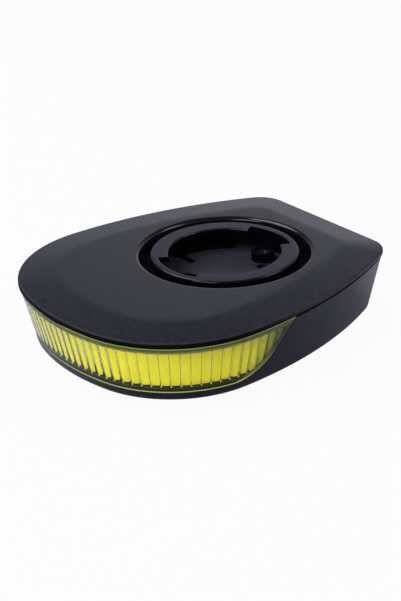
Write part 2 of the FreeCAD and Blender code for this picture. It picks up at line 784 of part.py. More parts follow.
def battery_ribs():
    """Upright ribs that hold the battery at its sides and back."""
    high = f"{FLOOR} + battery_rib_height"
    side = ("battery_width / 2 + battery_gap", "battery_width / 2 + battery_gap + battery_rib")
    back = ("-battery_back + battery_gap", "-battery_back + battery_gap + battery_rib")
    length = ("-battery_back - 3 * battery_length / 4", "-battery_back + battery_gap + battery_rib")
    ribs = []
    for sign in ("", "-"):
        inner, outer = (f"{sign}({text})" for text in side)
        across = (inner, outer) if sign == "" else (outer, inner)
        ribs.append(box("battery_side_rib", across, length, (BASE, high)))
        reach = f"{sign}(battery_width / 4)"
        across = (reach, outer) if sign == "" else (outer, reach)
        ribs.append(box("battery_back_rib", across, back, (BASE, high)))
    return ribs


def housing_holes():
    """Holes for screws, and the round seat of the foot in the underside."""
    below = f"{BASE} - 1"
    holes = [cylinder("foot_recess", "foot_flange_radius + fit_gap", (below, FOOT_SEAT))]
    for x, y in FOOT_SCREWS:
        holes.append(cylinder("foot_thread", "large_shank", (below, FOOT_THREAD_END), x, y))
    for x, y in POSTS:
        holes.append(cylinder("post_thread", "large_shank", (f"{CUP_UNDER} - post_thread", f"{TOP}"), x, y))
    for x, y in TUBES:
        holes.append(cylinder("tube_head", "large_head + 2 * fit_gap", (below, TUBE_SEAT), x, y))
        holes.append(cylinder("tube_hole", "large_shank + fit_gap", (below, CUP_UNDER), x, y))
    for x, y in BOARD_SCREWS:
        holes.append(cylinder("board_thread", "small_shank", (f"{BOARD_UNDER} - board_thread", TOP), x, y))
    for x, y, turn in CARRIER_TABS:
        holes.append(cylinder("tab_thread", "small_shank", (f"{TAB_LOW} - tab_thread", TOP), x, y))
    return holes


# places in the back wall
FLAP_LOW = f"({PORT_LEVEL} - flap_height / 2)"
FLAP_HIGH = f"({PORT_LEVEL} + flap_height / 2)"
FLAP_SEAT = f"(tail_length - {tail_inset(PORT_LEVEL)} - flap_thickness)"
ANCHOR_SEAT = f"({FLAP_SEAT} + flap_thickness - flap_anchor_depth)"
ANCHOR_LOW = f"({FLAP_LOW} - flap_gap - flap_anchor_height)"
BUTTON_FACE = f"(tail_length - {tail_inset(PORT_LEVEL)} + button_proud)"
BUTTON_INNER = f"(tail_length - {tail_inset(FLAP_LOW)} - wall - button_rest_gap)"
STEM_TIP = f"({BUTTON_INNER} - button_flange_depth - stem_length)"
SWITCH_FACE = f"({STEM_TIP} - button_travel - plunger_spare)"
OUTSIDE = "(tail_length + 1)"


def port_frame():
    """A thicker part of the back wall round the charging port."""
    return box("port_frame", span("port_x", "flap_width + 2 * port_frame_margin"),
               (f"{FLAP_SEAT} - port_frame_depth + flap_thickness", f"{FLAP_SEAT} + fit_gap"),
               (f"{FLAP_LOW} - port_frame_margin", LEDGE))


def back_openings():
    """Openings in the back wall for the port, its flap, the button and the battery light."""
    return [
        box("flap_recess", span("port_x", "flap_width + 2 * flap_gap"), (FLAP_SEAT, OUTSIDE),
            span(PORT_LEVEL, "flap_height + 2 * flap_gap")),
        box("anchor_recess", span("port_x", "flap_anchor_width"), (ANCHOR_SEAT, OUTSIDE),
            (ANCHOR_LOW, FLAP_LOW)),
        rounded_bar("port_hole", "port_width + 2 * fit_gap", "port_height + 2 * fit_gap",
                    (f"{FLAP_SEAT} - 2 * port_frame_depth", OUTSIDE), "port_x", PORT_LEVEL),
        rounded_bar("button_hole", "button_width + 2 * button_gap", "button_height + 2 * button_gap",
                    (f"{BUTTON_INNER} - 1", OUTSIDE), "-button_x", PORT_LEVEL),
        along_y("pipe_hole", "pipe_radius", (f"{BUTTON_INNER} - 1", OUTSIDE), "-pipe_x", PORT_LEVEL),
    ]


def run_point(run, inset):
    """A point on the inset outline, by the distance that the outline runs from the middle of the nose."""
    nose_radius, shoulder, flank = value("nose_radius"), value("shoulder_radius"), value("flank_radius")
    nose_y, widest_y = value(NOSE_Y), value(WIDEST_Y)
    shoulder_x, flank_x = value(SHOULDER_X), value(FLANK_X)
    turn = math.atan2(widest_y - nose_y, shoulder_x)
    nose_run = nose_radius * (turn + math.pi / 2)
    shoulder_run = -shoulder * turn
    left, distance = (-1 if run < 0 else 1), abs(run)
    if distance <= nose_run:
        centre, radius, angle = (0, nose_y), nose_radius, distance / nose_radius - math.pi / 2
    elif distance <= nose_run + shoulder_run:
        centre, radius, angle = (shoulder_x, widest_y), shoulder, turn + (distance - nose_run) / shoulder
    else:
        centre, radius, angle = (flank_x, widest_y), flank, (distance - nose_run - shoulder_run) / flank
    radius -= inset
    return Vector(left * (centre[0] + radius * math.cos(angle)), centre[1] + radius * math.sin(angle), 0)


def run_arc(first, last, inset, bulge=0):
    """An arc over a stretch of the inset outline, whose middle may bulge further inwards."""
    middle = run_point((first + last) / 2, inset + bulge)
    return Part.Arc(run_point(first, inset), middle, run_point(last, inset)).toShape()


def fluted_section(level):
    """The lens's section at a level: a smooth outer line and an inner line of round flutes."""
    turn = math.atan2(value(WIDEST_Y) - value(NOSE_Y), value(SHOULDER_X))
    nose_run = value("nose_radius") * (turn + math.pi / 2)
    shoulder_run = nose_run - value("shoulder_radius") * turn
    pitch = value("flute_pitch")
    flutes = math.ceil((shoulder_run + value(f"{WIDEST_Y} * -1 - lens_back")) / pitch) + 1
    end = flutes * pitch
    outer = value(f"{side_inset(level)} + fit_gap / 2")
    inner = outer + value("lens_wall")
    breaks = [-end, -shoulder_run, -nose_run, nose_run, shoulder_run, end]
    edges = [run_arc(first, last, outer) for first, last in zip(breaks, breaks[1:])]
    edges.append(Part.LineSegment(run_point(end, outer), run_point(end, inner)).toShape())
    for flute in range(flutes, -flutes, -1):
        edges.append(run_arc(flute * pitch, (flute - 1) * pitch, inner, value("flute_depth")))
    edges.append(Part.LineSegment(run_point(-end, inner), run_point(-end, outer)).toShape())
    wire = Part.Wire(edges)
    wire.translate(Vector(0, 0, value(level)))
    return wire


def make_lens():
    """The clear lens: a fluted wall round the nose, with a flange above and one below."""
    low, high = f"{SILL} - fit_gap", f"{SEAM} - lens_shadow"
    wall = doc.addObject("Part::Feature", "lens_fluted_wall")
    wall.Shape = Part.makeLoft([fluted_section(low), fluted_section(high)], True, True)
    lift = "fit_gap / 2"
    lens_low = f"({SILL} + {lift})"
    wall_middle = "lens_wall * 0.6"
    upper = band("lens_upper_flange", (f"{side_inset(SEAM)} + {wall_middle}", "ledge_width"), (LEDGE, high))
    upstand = band("lens_upstand", ("lens_rim_width", "ledge_width"), (LEDGE, SEAM))
    foot = band("lens_lower_flange", (f"{side_inset(lens_low)} + {wall_middle}", "lens_foot_inset"),
                (lens_low, f"{lens_low} + lens_flange_height"), ("corner_radius / 2", "corner_radius / 3"))
    full = joined("lens_full", wall, upper, upstand, foot)
    return overlap("lens", full, lens_region("lens_outline", "lens_gap", lift))


def make_seals():
    """The three soft seals: under the socket's flange, under the cover and under the lens."""
    finished("socket_seal", ring("socket_seal", ("socket_flange - socket_seal_width", "socket_flange"),
                                 (f"{LID} - socket_seal_height", LID)))
    finished("cover_seal", band("cover_seal", ("seal_inset", "seal_inset + seal_width"),
                                (SEAM, f"{SEAM} + seal_height")))
    gasket = band("lens_gasket_band", ("lens_foot_inset - lens_gasket_width", "lens_foot_inset"),
                  (FLOOR, f"{SILL} + fit_gap / 2"))
    finished("lens_gasket", front_part("lens_gasket", gasket, "lens_gasket_end"))


def make_light_source():
    """The light source: luminous strip, flexible board and the metal carrier that takes the heat away."""
    strip = band("strip_band", ("strip_inset", STRIP_BACK), (STRIP_LOW, STRIP_HIGH))
    finished("phosphor_strip", front_part("phosphor_strip", strip, "phosphor_end"))
    low, high = f"{STRIP_LOW} - led_board_margin", f"{STRIP_HIGH} + led_board_margin"
    board = band("led_board_band", (STRIP_BACK, CARRIER_FACE), (low, high))
    finished("led_board", front_part("led_board", board, "led_board_end"))
    wall = band("carrier_band", (CARRIER_FACE, f"{CARRIER_FACE} + carrier_thickness"),
                (FLOOR, f"{high} - fit_gap"), ("corner_radius / 2", "corner_radius / 3"))
    wall = front_part("carrier_wall", wall, "carrier_end")
    tabs = [carrier_tab(x, y, turn) for x, y, turn in CARRIER_TABS]
    holes = [
        cylinder("tab_hole", "small_shank + fit_gap", (BASE, TOP), x, y) for x, y, turn in CARRIER_TABS
    ]
    finished("led_carrier", cut("led_carrier", joined("carrier_full", wall, *tabs), *holes))
    screws = [
        screw_down("carrier_screw", x, y, TAB_HIGH, "carrier_thickness + tab_thread - 2 * fit_gap", "small")
        for x, y, turn in CARRIER_TABS
    ]
    finished("carrier_screws", group("carrier_screws", *screws))


def carrier_tab(x, y, turn):
    """A flat square tab that reaches inwards from the carrier, turned about the upright axis."""
    tab = doc.addObject("Part::Box", "carrier_tab")
    bind(tab, Length="carrier_tab", Width="carrier_tab + carrier_thickness / 2", Height="carrier_thickness")
    bind(tab, Placement__Rotation__Angle=turn)
    side, reach = "carrier_tab / 2", "(carrier_tab + carrier_thickness) / 2"
    return place(tab, f"{x} - {side} * cos({turn}) + {reach} * sin({turn})",
                 f"{y} - {side} * sin({turn}) - {reach} * cos({turn})", TAB_LOW)


def lead(name, number, room):
    """A wire in an S-bend from the connector's side to the light source's board."""
    start, end = value("led_connector_end"), value("body_width / 2 - strip_inset")
    start_y = -value(f"lead_start + {number} * lead_start_pitch")
    end_y = -value(f"lead_end + {number} * lead_end_pitch")
    turn = 2 * math.atan2(start_y - end_y, end - start)
    radius = (end - start) / 2 / math.sin(turn)
    path = doc.addObject("Sketcher::SketchObject", f"{name}_path")
    path.addGeometry([
        arc((start, start_y - radius), radius, math.pi / 2 - turn, math.pi / 2),
        arc((end, end_y + radius), radius, -math.pi / 2 - turn, -math.pi / 2),
    ])
    path.addConstraint(Sketcher.Constraint("Tangent", 0, 1, 1, 1))
    bind(path, Placement__Base__z="lead_level")
    section = doc.addObject("Part::Circle", f"{name}_section")
    bind(section, Radius="lead_radius")
    middle = Vector(start, start_y, value("lead_level"))
    section.Placement = FreeCAD.Placement(middle, Rotation(Vector(0, 1, 0), 90))
    sweep = doc.addObject("Part::Sweep", f"{name}_wire")
    sweep.Sections = [section]
    sweep.Spine = (path, ["Edge1", "Edge2"])
    sweep.Solid = True
    return overlap(name, sweep, room)


def make_battery():
    """The battery, its pad and foam, and its two leads to the plug under the main board."""
    low, high = f"{FLOOR} + battery_pad", f"{FLOOR} + battery_pad + battery_thickness"
    front = "-battery_back - battery_length"
    block = box("battery_block", span("0", "battery_width"), (front, "-battery_back"), (low, high))
    cell = rounded("battery_cell", block, "battery_round", lambda edge: abs(edge_way(edge).x) > 0.99)
    finished("battery_cell", cell)
    pad = box("battery_pad", span("0", "battery_width - 2 * battery_pad_inset"),
              (f"{front} + battery_pad_inset", "-(foot_flange_radius + foot_seat_margin + battery_pad_gap)"),
              (FLOOR, low))
    finished("battery_pad", pad)
    foam = box("battery_hold_down", ("-battery_foam_x", "battery_foam_x"),
               ("-battery_foam_front", "-battery_foam_back"), (high, LID))
    finished("battery_hold_down", foam)
    plug = box("battery_connector", span("battery_lead_x", "battery_connector_width"),
               ("-battery_connector_front", "-battery_connector_back"),
               (f"{BOARD_UNDER} - connector_height", BOARD_UNDER))
    finished("battery_connector", plug)
    leads = [
        along_y("battery_lead", "battery_lead_radius", ("-battery_back", "-battery_connector_front"),
                f"battery_lead_x {sign} battery_lead_pitch / 2", f"{BOARD_UNDER} - connector_height / 2")
        for sign in "-+"
    ]
    finished("battery_leads", group("battery_leads", *leads))


def edge_way(edge):
    """The direction of a straight edge."""
    return (edge.Vertexes[-1].Point - edge.Vertexes[0].Point).normalize()


def rounded(name, thing, radius, chosen):
    """A thing with a round on the edges that are chosen."""
    doc.recompute()
    result = doc.addObject("Part::Fillet", name)
    result.Base = thing
    size = value(radius)
    edges = enumerate(thing.Shape.Edges, start=1)
    result.Edges = [(number, size, size) for number, edge in edges if chosen(edge)]
    return result


# chips on the main board: middle in x and y, width, depth and height
CHIPS = {
    "driver_chip": (12.5, -5, 4, 4, 0.9),
    "controller_chip": (-9, -2.5, 6, 6, 1),
    "charge_chip": (8, 17, 3.5, 3.5, 0.9),
}
INDUCTOR = (-15, 3, 5, 5, 2.4)
# small parts on the main board: middle in x and y
PASSIVES = [(8.5, -4), (8.5, -6), (16.5, -3), (16.5, -5), (4.5, 2), (4.5, 4), (-3.5, -5), (-3.5, -3),
            (-14, -5), (-14, -3), (-9, 4), (-6.5, 4), (4.2, 17), (4.2, 15), (11.8, 17), (11.8, 15),
            (-4.5, 17), (-4.5, 19)]
PASSIVE_SIZE = (1.6, 0.8, 0.6)


def on_board(name, middle, size, z=BOARD_TOP):
    """A block that stands on the main board, or from another level."""
    (x, y), (width, depth, height) = middle, size
    return box(name, span(x, width), span(y, depth), (z, f"{z} + {height}"))


def make_electronics():
    """The main board with its screws, chips, coil, connectors and wires."""
    thickness = (BOARD_UNDER, BOARD_TOP)
    blank = joined(
        "board_blank",
        box("board_middle", span("0", "board_width"), ("-board_front", "board_shoulder"), thickness),
        box("board_long", span("0", "board_neck"), ("-board_nose", "board_tail"), thickness),
        box("board_port", span("port_x", "port_tail_width"), ("0", "board_port_tail"), thickness),
    )
    holes = [cylinder("post_hole", "post_radius + board_clearance", (BASE, TOP), x, y) for x, y in POSTS]
    holes += [cylinder("screw_hole", "small_shank + fit_gap", (BASE, TOP), x, y) for x, y in BOARD_SCREWS]
    finished("main_board", cut("main_board", blank, *holes))
    screws = [
        screw_down("board_screw", x, y, BOARD_TOP, "board_thickness + board_thread - 3 * fit_gap", "small")
        for x, y in BOARD_SCREWS
    ]
    finished("board_screws", group("board_screws", *screws))
    for name, (x, y, *size) in CHIPS.items():
        finished(name, on_board(name, (x, y), size))
    x, y, width, depth, height = INDUCTOR
    finished("inductor", on_board("inductor", (x, y), (width, depth, height), f"{BOARD_UNDER} - {height}"))
    small = [on_board("small_part", middle, PASSIVE_SIZE) for middle in PASSIVES]
    finished("board_passives", group("board_passives", *small))
    connector = box("led_connector", ("led_connector_x", "led_connector_end"),
                    ("-led_connector_front", "-led_connector_back"),
                    (BOARD_TOP, f"{BOARD_TOP} + connector_height"))
    finished("led_connector", connector)
    room = slab("lead_room", CARRIER_FACE, (FLOOR, SEAM))
    wires = [lead("led_lead", number, room) for number in (0, 1)]
    finished("led_leads", group("led_leads", *wires))


def make_port():
    """The charging port with its tongue, and the soft flap with its fixed strip."""
    mouth = f"({FLAP_SEAT} - port_skin)"
    back = f"({mouth} - port_depth + port_back)"
    width, height = "port_width - 2 * port_shell", "port_height - 2 * port_shell"
    shell = rounded_bar("port_outside", "port_width", "port_height", (f"{mouth} - port_depth", mouth),
                        "port_x", PORT_LEVEL)
    hollow = rounded_bar("port_inside", width, height, (back, OUTSIDE), "port_x", PORT_LEVEL)
    finished("usb_shell", cut("usb_shell", shell, hollow))
    base = rounded_bar("tongue_root", width, height, (back, f"{back} + tongue_base"), "port_x", PORT_LEVEL)
    tongue = box("tongue_blade", span("port_x", "tongue_width"), (back, f"{mouth} - tongue_recess"),
                 span(PORT_LEVEL, "tongue_height"))
    finished("usb_tongue", joined("usb_tongue", base, tongue))


def make_flap(outer):
    """The flap flush in the back wall, with a plug that closes the port, and the strip that holds it."""
    blank = box("flap_blank", span("port_x", "flap_width"), (FLAP_SEAT, OUTSIDE), (FLAP_LOW, FLAP_HIGH))
    plug = rounded_bar("flap_plug", "flap_plug_width", "flap_plug_height",
                       (f"{FLAP_SEAT} - flap_plug_depth", f"{FLAP_SEAT} + fit_gap"), "port_x", PORT_LEVEL)
    finished("port_flap", joined("port_flap", overlap("flap_face", blank, outer), plug))
    anchor = box("anchor_blank", span("port_x", "flap_anchor_width"), (ANCHOR_SEAT, OUTSIDE),
                 (ANCHOR_LOW, f"{FLAP_LOW} - fit_gap"))
    finished("flap_anchor", overlap("flap_anchor", anchor, outer))


def make_button():
    """The power button with its inner flange and stem, and the switch with its plunger."""
    cap = rounded_bar("button_cap", "button_width", "button_height",
                      (f"{BUTTON_INNER} - fit_gap", BUTTON_FACE), "-button_x", PORT_LEVEL)
    cap.Refine = True
    face = value(BUTTON_FACE)
    cap = rounded("button_cap_rounded", cap, "button_round",
                  lambda edge: all(abs(corner.Y - face) < 1e-6 for corner in edge.Vertexes))
    flange = rounded_bar("button_flange", "button_width + 2 * button_flange",
                         "button_height + 2 * button_flange",
                         (f"{BUTTON_INNER} - button_flange_depth", BUTTON_INNER), "-button_x", PORT_LEVEL)
    stem = box("button_stem", span("-button_x", "stem_width"),
               (STEM_TIP, f"{BUTTON_INNER} - button_flange_depth / 2"), span(PORT_LEVEL, "stem_height"))
    finished("power_button", joined("power_button", cap, flange, stem))
    plunger = box("switch_plunger", span("-button_x", "plunger_width"),
                  (f"{SWITCH_FACE} - plunger_root", STEM_TIP), span(PORT_LEVEL, "plunger_height"))
    finished("switch_plunger", plunger)
    body = box("switch_block", span("-button_x", "switch_width"),
               (f"{SWITCH_FACE} - switch_depth", SWITCH_FACE), (BOARD_TOP, f"{BOARD_TOP} + switch_height"))
    pocket = box("switch_pocket", span("-button_x", "plunger_width + 2 * plunger_gap"),
                 (f"{SWITCH_FACE} - plunger_root - button_travel - plunger_gap", OUTSIDE),
                 span(PORT_LEVEL, "plunger_height + 2 * plunger_gap"))
    finished("switch_body", cut("switch_body", body, pocket))


def make_status_light(outer):
    """The battery light on the board and the clear rod that takes its light to the back wall."""
    lamp = box("status_led", span("-pipe_x", "status_led_width"),
               ("pipe_start - status_led_depth", "pipe_start"),
               (BOARD_TOP, f"{BOARD_TOP} + status_led_height"))
    finished("status_led", lamp)
    rod = along_y("pipe_blank", "pipe_radius", ("pipe_start", OUTSIDE), "-pipe_x", PORT_LEVEL)
    finished("light_pipe", overlap("light_pipe", rod, outer))


def make_foot():
    """The foot plate with two ears that turn into the bar mount, and its flat-head screws."""
    flange = cylinder("foot_flange", "foot_flange_radius", (BASE, FOOT_SEAT))
    stud = cylinder("foot_stud", "foot_radius", ("0", f"{BASE} + fit_gap"))
    ears = [wedge("foot_ear", "foot_tab_radius", ("0", "foot_tab_height"), turn, "foot_tab_angle")
            for turn in ("0", "180")]
    hollow = cylinder("foot_hollow", "foot_hollow_radius", ("-1", "foot_hollow_depth"))
    sinks = [foot_sink("foot_sink", x, y) for x, y in FOOT_SCREWS]
    holes = [
        cylinder("foot_hole", "large_shank + fit_gap", (BASE, INNER_FLOOR), x, y) for x, y in FOOT_SCREWS
    ]
    blank = joined("foot_full", flange, stud, *ears)
    finished("foot_plate", cut("foot_plate", blank, hollow, *sinks, *holes))
    screws = []
    for x, y in FOOT_SCREWS:
        shank = cylinder("foot_shank", "large_shank - thread_gap",
                         (f"{BASE} + foot_sink_depth / 2", f"{FOOT_THREAD_END} - fit_gap"), x, y)
        blank = joined("foot_screw_blank", foot_sink("foot_head", x, y), shank)
        screws.append(cut("foot_screw", blank, driver("foot_screw", x, y, BASE, "large")))
    finished("foot_screws", group("foot_screws", *screws))


def foot_sink(name, x, y):
    """The cone of a flat head, which is its seat as well."""
    return cone(name, ("large_head", "large_shank - thread_gap"), (BASE, f"{BASE} + foot_sink_depth"), x, y)


outer = make_outer()
finished("top_cover", make_top_cover())
finished("computer_socket", make_computer_socket())
finished("lower_housing", make_housing(outer))
finished("lens", make_lens())
make_seals()
make_light_source()
make_battery()
make_electronics()
make_port()
make_flap(outer)
make_button()
make_status_light(outer)
make_foot()
finished("socket_screws", group("socket_screws", *[
    screw_down("socket_screw", x, y, SOCKET_SEAT, f"{SOCKET_SEAT} - {CUP_UNDER} + post_thread - 2 * fit_gap")
    for x, y in POSTS
]))
finished("cover_screws", group("cover_screws", *[
    screw_up("cover_screw", x, y, TUBE_SEAT, "cover_screw_length") for x, y in TUBES
]))
doc.recompute()

for thing in doc.Objects:
    if "Invalid" in thing.State or "Error" in thing.State:
        raise ValueError(f"{thing.Name} doesn't compute: {thing.State}")
os.makedirs("parts", exist_ok=True)
for thing in PARTS:
    if thing.Shape.isNull() or not thing.Shape.isValid() or not thing.Shape.Solids:
        raise ValueError(f"{thing.Label} isn't a sound solid")
    thing.Shape.exportStep(f"parts/{thing.Label}.step")
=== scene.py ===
# %% [markdown]
# # A flat bicycle headlight
# This light sits between a handlebar mount and a bike computer. A bent clear lens runs round its nose,
# and the computer clicks into the round socket in its top. The solids come from a CAD model, and this
# script dresses them: it models the parts that show as smooth Blender meshes, and gives each part the
# finish that the real one has. Lengths in the modelling cells are millimetres, as on a maker's drawing,
# and each piece is brought to metres once, when it is done.

# %% Load the CAD frame
import json
import math

import bmesh
import bpy
from mathutils import Matrix, Vector

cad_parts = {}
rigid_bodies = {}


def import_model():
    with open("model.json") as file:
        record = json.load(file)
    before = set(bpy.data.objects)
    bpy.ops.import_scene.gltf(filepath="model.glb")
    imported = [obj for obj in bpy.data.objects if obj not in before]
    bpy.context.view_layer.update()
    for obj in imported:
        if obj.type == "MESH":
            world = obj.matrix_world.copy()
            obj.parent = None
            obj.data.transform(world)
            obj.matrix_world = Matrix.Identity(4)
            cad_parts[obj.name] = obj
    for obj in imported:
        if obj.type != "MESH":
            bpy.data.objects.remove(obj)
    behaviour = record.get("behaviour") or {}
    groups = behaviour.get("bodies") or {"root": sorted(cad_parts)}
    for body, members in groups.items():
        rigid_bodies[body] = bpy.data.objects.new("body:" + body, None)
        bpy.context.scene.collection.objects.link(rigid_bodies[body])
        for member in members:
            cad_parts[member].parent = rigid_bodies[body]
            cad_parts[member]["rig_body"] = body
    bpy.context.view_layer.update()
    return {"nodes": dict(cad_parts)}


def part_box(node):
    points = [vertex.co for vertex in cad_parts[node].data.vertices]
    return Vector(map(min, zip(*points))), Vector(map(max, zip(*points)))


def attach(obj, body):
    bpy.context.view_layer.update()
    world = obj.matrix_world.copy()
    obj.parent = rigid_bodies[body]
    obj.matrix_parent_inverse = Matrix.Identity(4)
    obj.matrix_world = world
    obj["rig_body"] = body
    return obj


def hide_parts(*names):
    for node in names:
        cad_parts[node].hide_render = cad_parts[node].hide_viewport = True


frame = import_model()
nodes = frame["nodes"]

# %% [markdown]
# ## Camera
# A product picture is taken with a long lens from some way off, so that the shape isn't stretched.
# The camera looks at the light from its right front, 25 degrees above the table, and is rolled by a few
# degrees. A camera's place and turn fit in one matrix: its columns are the directions right, up and
# back, and the place. That is exact, where a tracking constraint would leave the roll open.

# %% Camera
SENSOR = 36.0
FOCAL_PIXELS = 1550.0
PICTURE_HEIGHT = 601

back = Vector((0.7221, -0.5413, 0.4308)).normalized()
up = Vector((-0.3222, 0.2880, 0.9018))
up = (up - back * up.dot(back)).normalized()
right = up.cross(back)

camera = bpy.data.objects.new("camera", bpy.data.cameras.new("camera"))
camera.data.lens = FOCAL_PIXELS / PICTURE_HEIGHT * SENSOR
camera.data.sensor_width = SENSOR
place = Vector((0.25116, -0.19554, 0.15833))
facing = Matrix((right, up, back)).transposed().to_4x4()
camera.matrix_world = Matrix.Translation(place) @ facing
camera.data.clip_start = 0.01
camera.data.clip_end = 20
bpy.context.scene.collection.objects.link(camera)
bpy.context.scene.camera = camera
print("camera lens in mm:", round(camera.data.lens, 1))

# %% [markdown]
# ## Shader sums as Python sums
# A shader is a graph of nodes, and a graph that is wired by hand hides its arithmetic. Here a small
# class wraps one socket. Adding or multiplying two wrapped sockets makes the Math node for it, so a
# pattern can be read as a formula. Colours are mixed with a Mix node, because a Math node turns them grey.

# %% A wire that can be added and multiplied
class Wire:
    """One output of a shader node. Plus, minus, times and divide add Math nodes behind it."""

    def __init__(self, graph, socket):
        self.graph = graph
        self.socket = socket

    def math(self, operation, first, second=0.0):
        return self.graph.node("ShaderNodeMath", {"operation": operation}, {0: first, 1: second})

    def __add__(self, other):
        return self.math("ADD", self, other)

    __radd__ = __add__

    def __mul__(self, other):
        return self.math("MULTIPLY", self, other)

    __rmul__ = __mul__

    def __sub__(self, other):
        return self.math("SUBTRACT", self, other)

    def __rsub__(self, other):
        return self.math("SUBTRACT", other, self)

    def __truediv__(self, other):
        return self.math("DIVIDE", self, other)

    def __abs__(self):
        return self.apply("ABSOLUTE")

    def apply(self, operation, other=0.0):
        """Any other Math node with this value first, such as SQRT, SINE or MAXIMUM."""
        return self.math(operation, self, other)

    def step(self, low, high):
        """0 below one value, 1 above the other, and a soft step between them."""
        return self.graph.node(
            "ShaderNodeMapRange", {"interpolation_type": "SMOOTHSTEP"},
            {"Value": self, "From Min": low, "From Max": high},
        )


def distance(a, b):
    """How far a point is from a line, by its two coordinates across that line."""
    return (a * a + b * b).apply("SQRT")


# %% A graph that gets its nodes from one method
class Graph:
    """The shader nodes of a material or of the world."""

    def __init__(self, tree):
        self.tree = tree
        tree.nodes.clear()

    def node(self, kind, settings=None, inputs=None, output=0):
        """Adds one node: first its settings, then the values or wires of its inputs."""
        made = self.tree.nodes.new(kind)
        for name, setting in (settings or {}).items():
            setattr(made, name, setting)
        for key, given in (inputs or {}).items():
            self.feed(made.inputs[key], given)
        return Wire(self, made.outputs[output])

    def feed(self, socket, given):
        if isinstance(given, Wire):
            self.tree.links.new(given.socket, socket)
        else:
            socket.default_value = given

    def show(self, wire, kind="ShaderNodeOutputMaterial"):
        """Leads a shader to the graph's output, in place of what led there before."""
        ends = [node for node in self.tree.nodes if node.bl_idname == kind] or [self.tree.nodes.new(kind)]
        self.tree.links.new(wire.socket, ends[0].inputs["Surface"])

    def ray_is(self, *kinds):
        """1 for the named kinds of ray, such as "Is Camera Ray", and 0 for the others."""
        rays = self.node("ShaderNodeLightPath").socket.node
        total = Wire(self, rays.outputs[kinds[0]])
        for kind in kinds[1:]:
            total = total.apply("MAXIMUM", Wire(self, rays.outputs[kind]))
        return total

    def mixed(self, factor, first, second):
        """A blend of two shaders."""
        return self.node("ShaderNodeMixShader", inputs={0: factor, 1: first, 2: second})

    def mix(self, factor, first, second):
        """A blend of two colours."""
        return self.node("ShaderNodeMix", {"data_type": "RGBA"}, {0: factor, 6: first, 7: second}, output=2)

    def split(self, vector):
        """The X, Y and Z of a vector as three wires."""
        parts = self.node("ShaderNodeSeparateXYZ", inputs={0: vector}).socket.node
        return [Wire(self, parts.outputs[axis]) for axis in "XYZ"]

    def vector(self, x, y, z):
        """Three values as one vector."""
        return self.node("ShaderNodeCombineXYZ", inputs={0: x, 1: y, 2: z})


WHITE = (1, 1, 1, 1)


def paint(code):
    """A colour as on a screen, such as "#2b2b30", in the linear numbers that a shader needs."""
    parts = [int(code[i:i + 2], 16) / 255 for i in (1, 3, 5)]
    return (*[c / 12.92 if c <= 0.04045 else ((c + 0.055) / 1.055) ** 2.4 for c in parts], 1.0)


# %% [markdown]
# ## A finish
# Each material starts from one Principled shader. The values that are the same all over are written on
# its own sockets, and only what changes over the surface is wired. Patterns read the Object
# coordinates: every piece has its origin at the frame's, so they are the CAD's own metres.

# %% A finish
class Finish(Graph):
    """A material with one Principled shader and the patterns that feed it."""

    def __init__(self, name, **plain):
        self.name = name
        self.material = bpy.data.materials.new(name)
        self.material.use_nodes = True
        super().__init__(self.material.node_tree)
        self.surface = self.node("ShaderNodeBsdfPrincipled")
        self.shader = self.surface.socket.node
        self.show(self.surface)
        self.vary(**plain)

    def vary(self, **given):
        """Sets or wires sockets of the Principled shader; an underscore stands for a space."""
        for name, wire in given.items():
            self.feed(self.shader.inputs[name.replace("_", " ")], wire)
        return self

    def place(self):
        """The Object coordinates of the shaded point, in metres."""
        return self.node("ShaderNodeTexCoord", output="Object")

    def axes(self):
        """The same point's X, Y and Z as three wires, in millimetres."""
        return [part * 1000.0 for part in self.split(self.place())]

    def noise(self, size, detail=2.0, rough=0.5, place=None):
        """Cloudy noise whose blobs are about so many millimetres across."""
        return self.node(
            "ShaderNodeTexNoise", {"noise_dimensions": "3D"},
            {"Vector": place or self.place(), "Scale": 1000.0 / size, "Detail": detail, "Roughness": rough},
        )

    def bump(self, height, depth):
        """A normal from a height pattern whose full height is given in millimetres."""
        reach = depth / 1000.0
        return self.node("ShaderNodeBump", inputs={"Strength": 1.0, "Distance": reach, "Height": height})

    def paint_shade(self, mask):
        """Paints shade into the masked part: a dull black that hardly mirrors, as at the bottom of a gap.

        How strongly a shader mirrors can't vary over a surface, so a second shader is mixed in.
        """
        painted_shade = self.node("ShaderNodeBsdfPrincipled", inputs={
            "Base Color": self.mix(self.noise(2.0), paint("#010102"), paint("#07070a")),
            "Roughness": 0.5 + 0.2 * self.noise(0.8), "Specular IOR Level": 0.01,
        })
        self.show(self.mixed(mask, self.surface, painted_shade))

    def cells(self, size, feature="F1", place=None):
        """Distance to the middle of the nearest of many cells that are about so many millimetres wide."""
        return self.node(
            "ShaderNodeTexVoronoi", {"feature": feature},
            {"Vector": place or self.place(), "Scale": 1000.0 / size},
        )


# %% [markdown]
# ## Table, background and light
# The picture has a white ground. The white comes from the colour of the floor and of the world as the
# camera and the reflections see them, not from strong lamps, so that the colours of the light render
# about as they are written. The table stays a real surface that takes the soft shadow of the light.

# %% White table
floor_paint = bpy.data.materials.new("white_table")
floor_paint.use_nodes = True
floor_graph = Graph(floor_paint.node_tree)
paper = floor_graph.node("ShaderNodeBsdfDiffuse", inputs={"Color": (0.32, 0.33, 0.43, 1)})
glow = floor_graph.node("ShaderNodeEmission", inputs={"Color": (1, 1, 1, 1), "Strength": 1.0})
to_camera = floor_graph.ray_is("Is Camera Ray") * 0.95
to_gloss = floor_graph.ray_is("Is Glossy Ray", "Is Transmission Ray") * 0.08
share = to_camera.apply("MAXIMUM", to_gloss)
floor_graph.show(floor_graph.mixed(share, paper, glow))

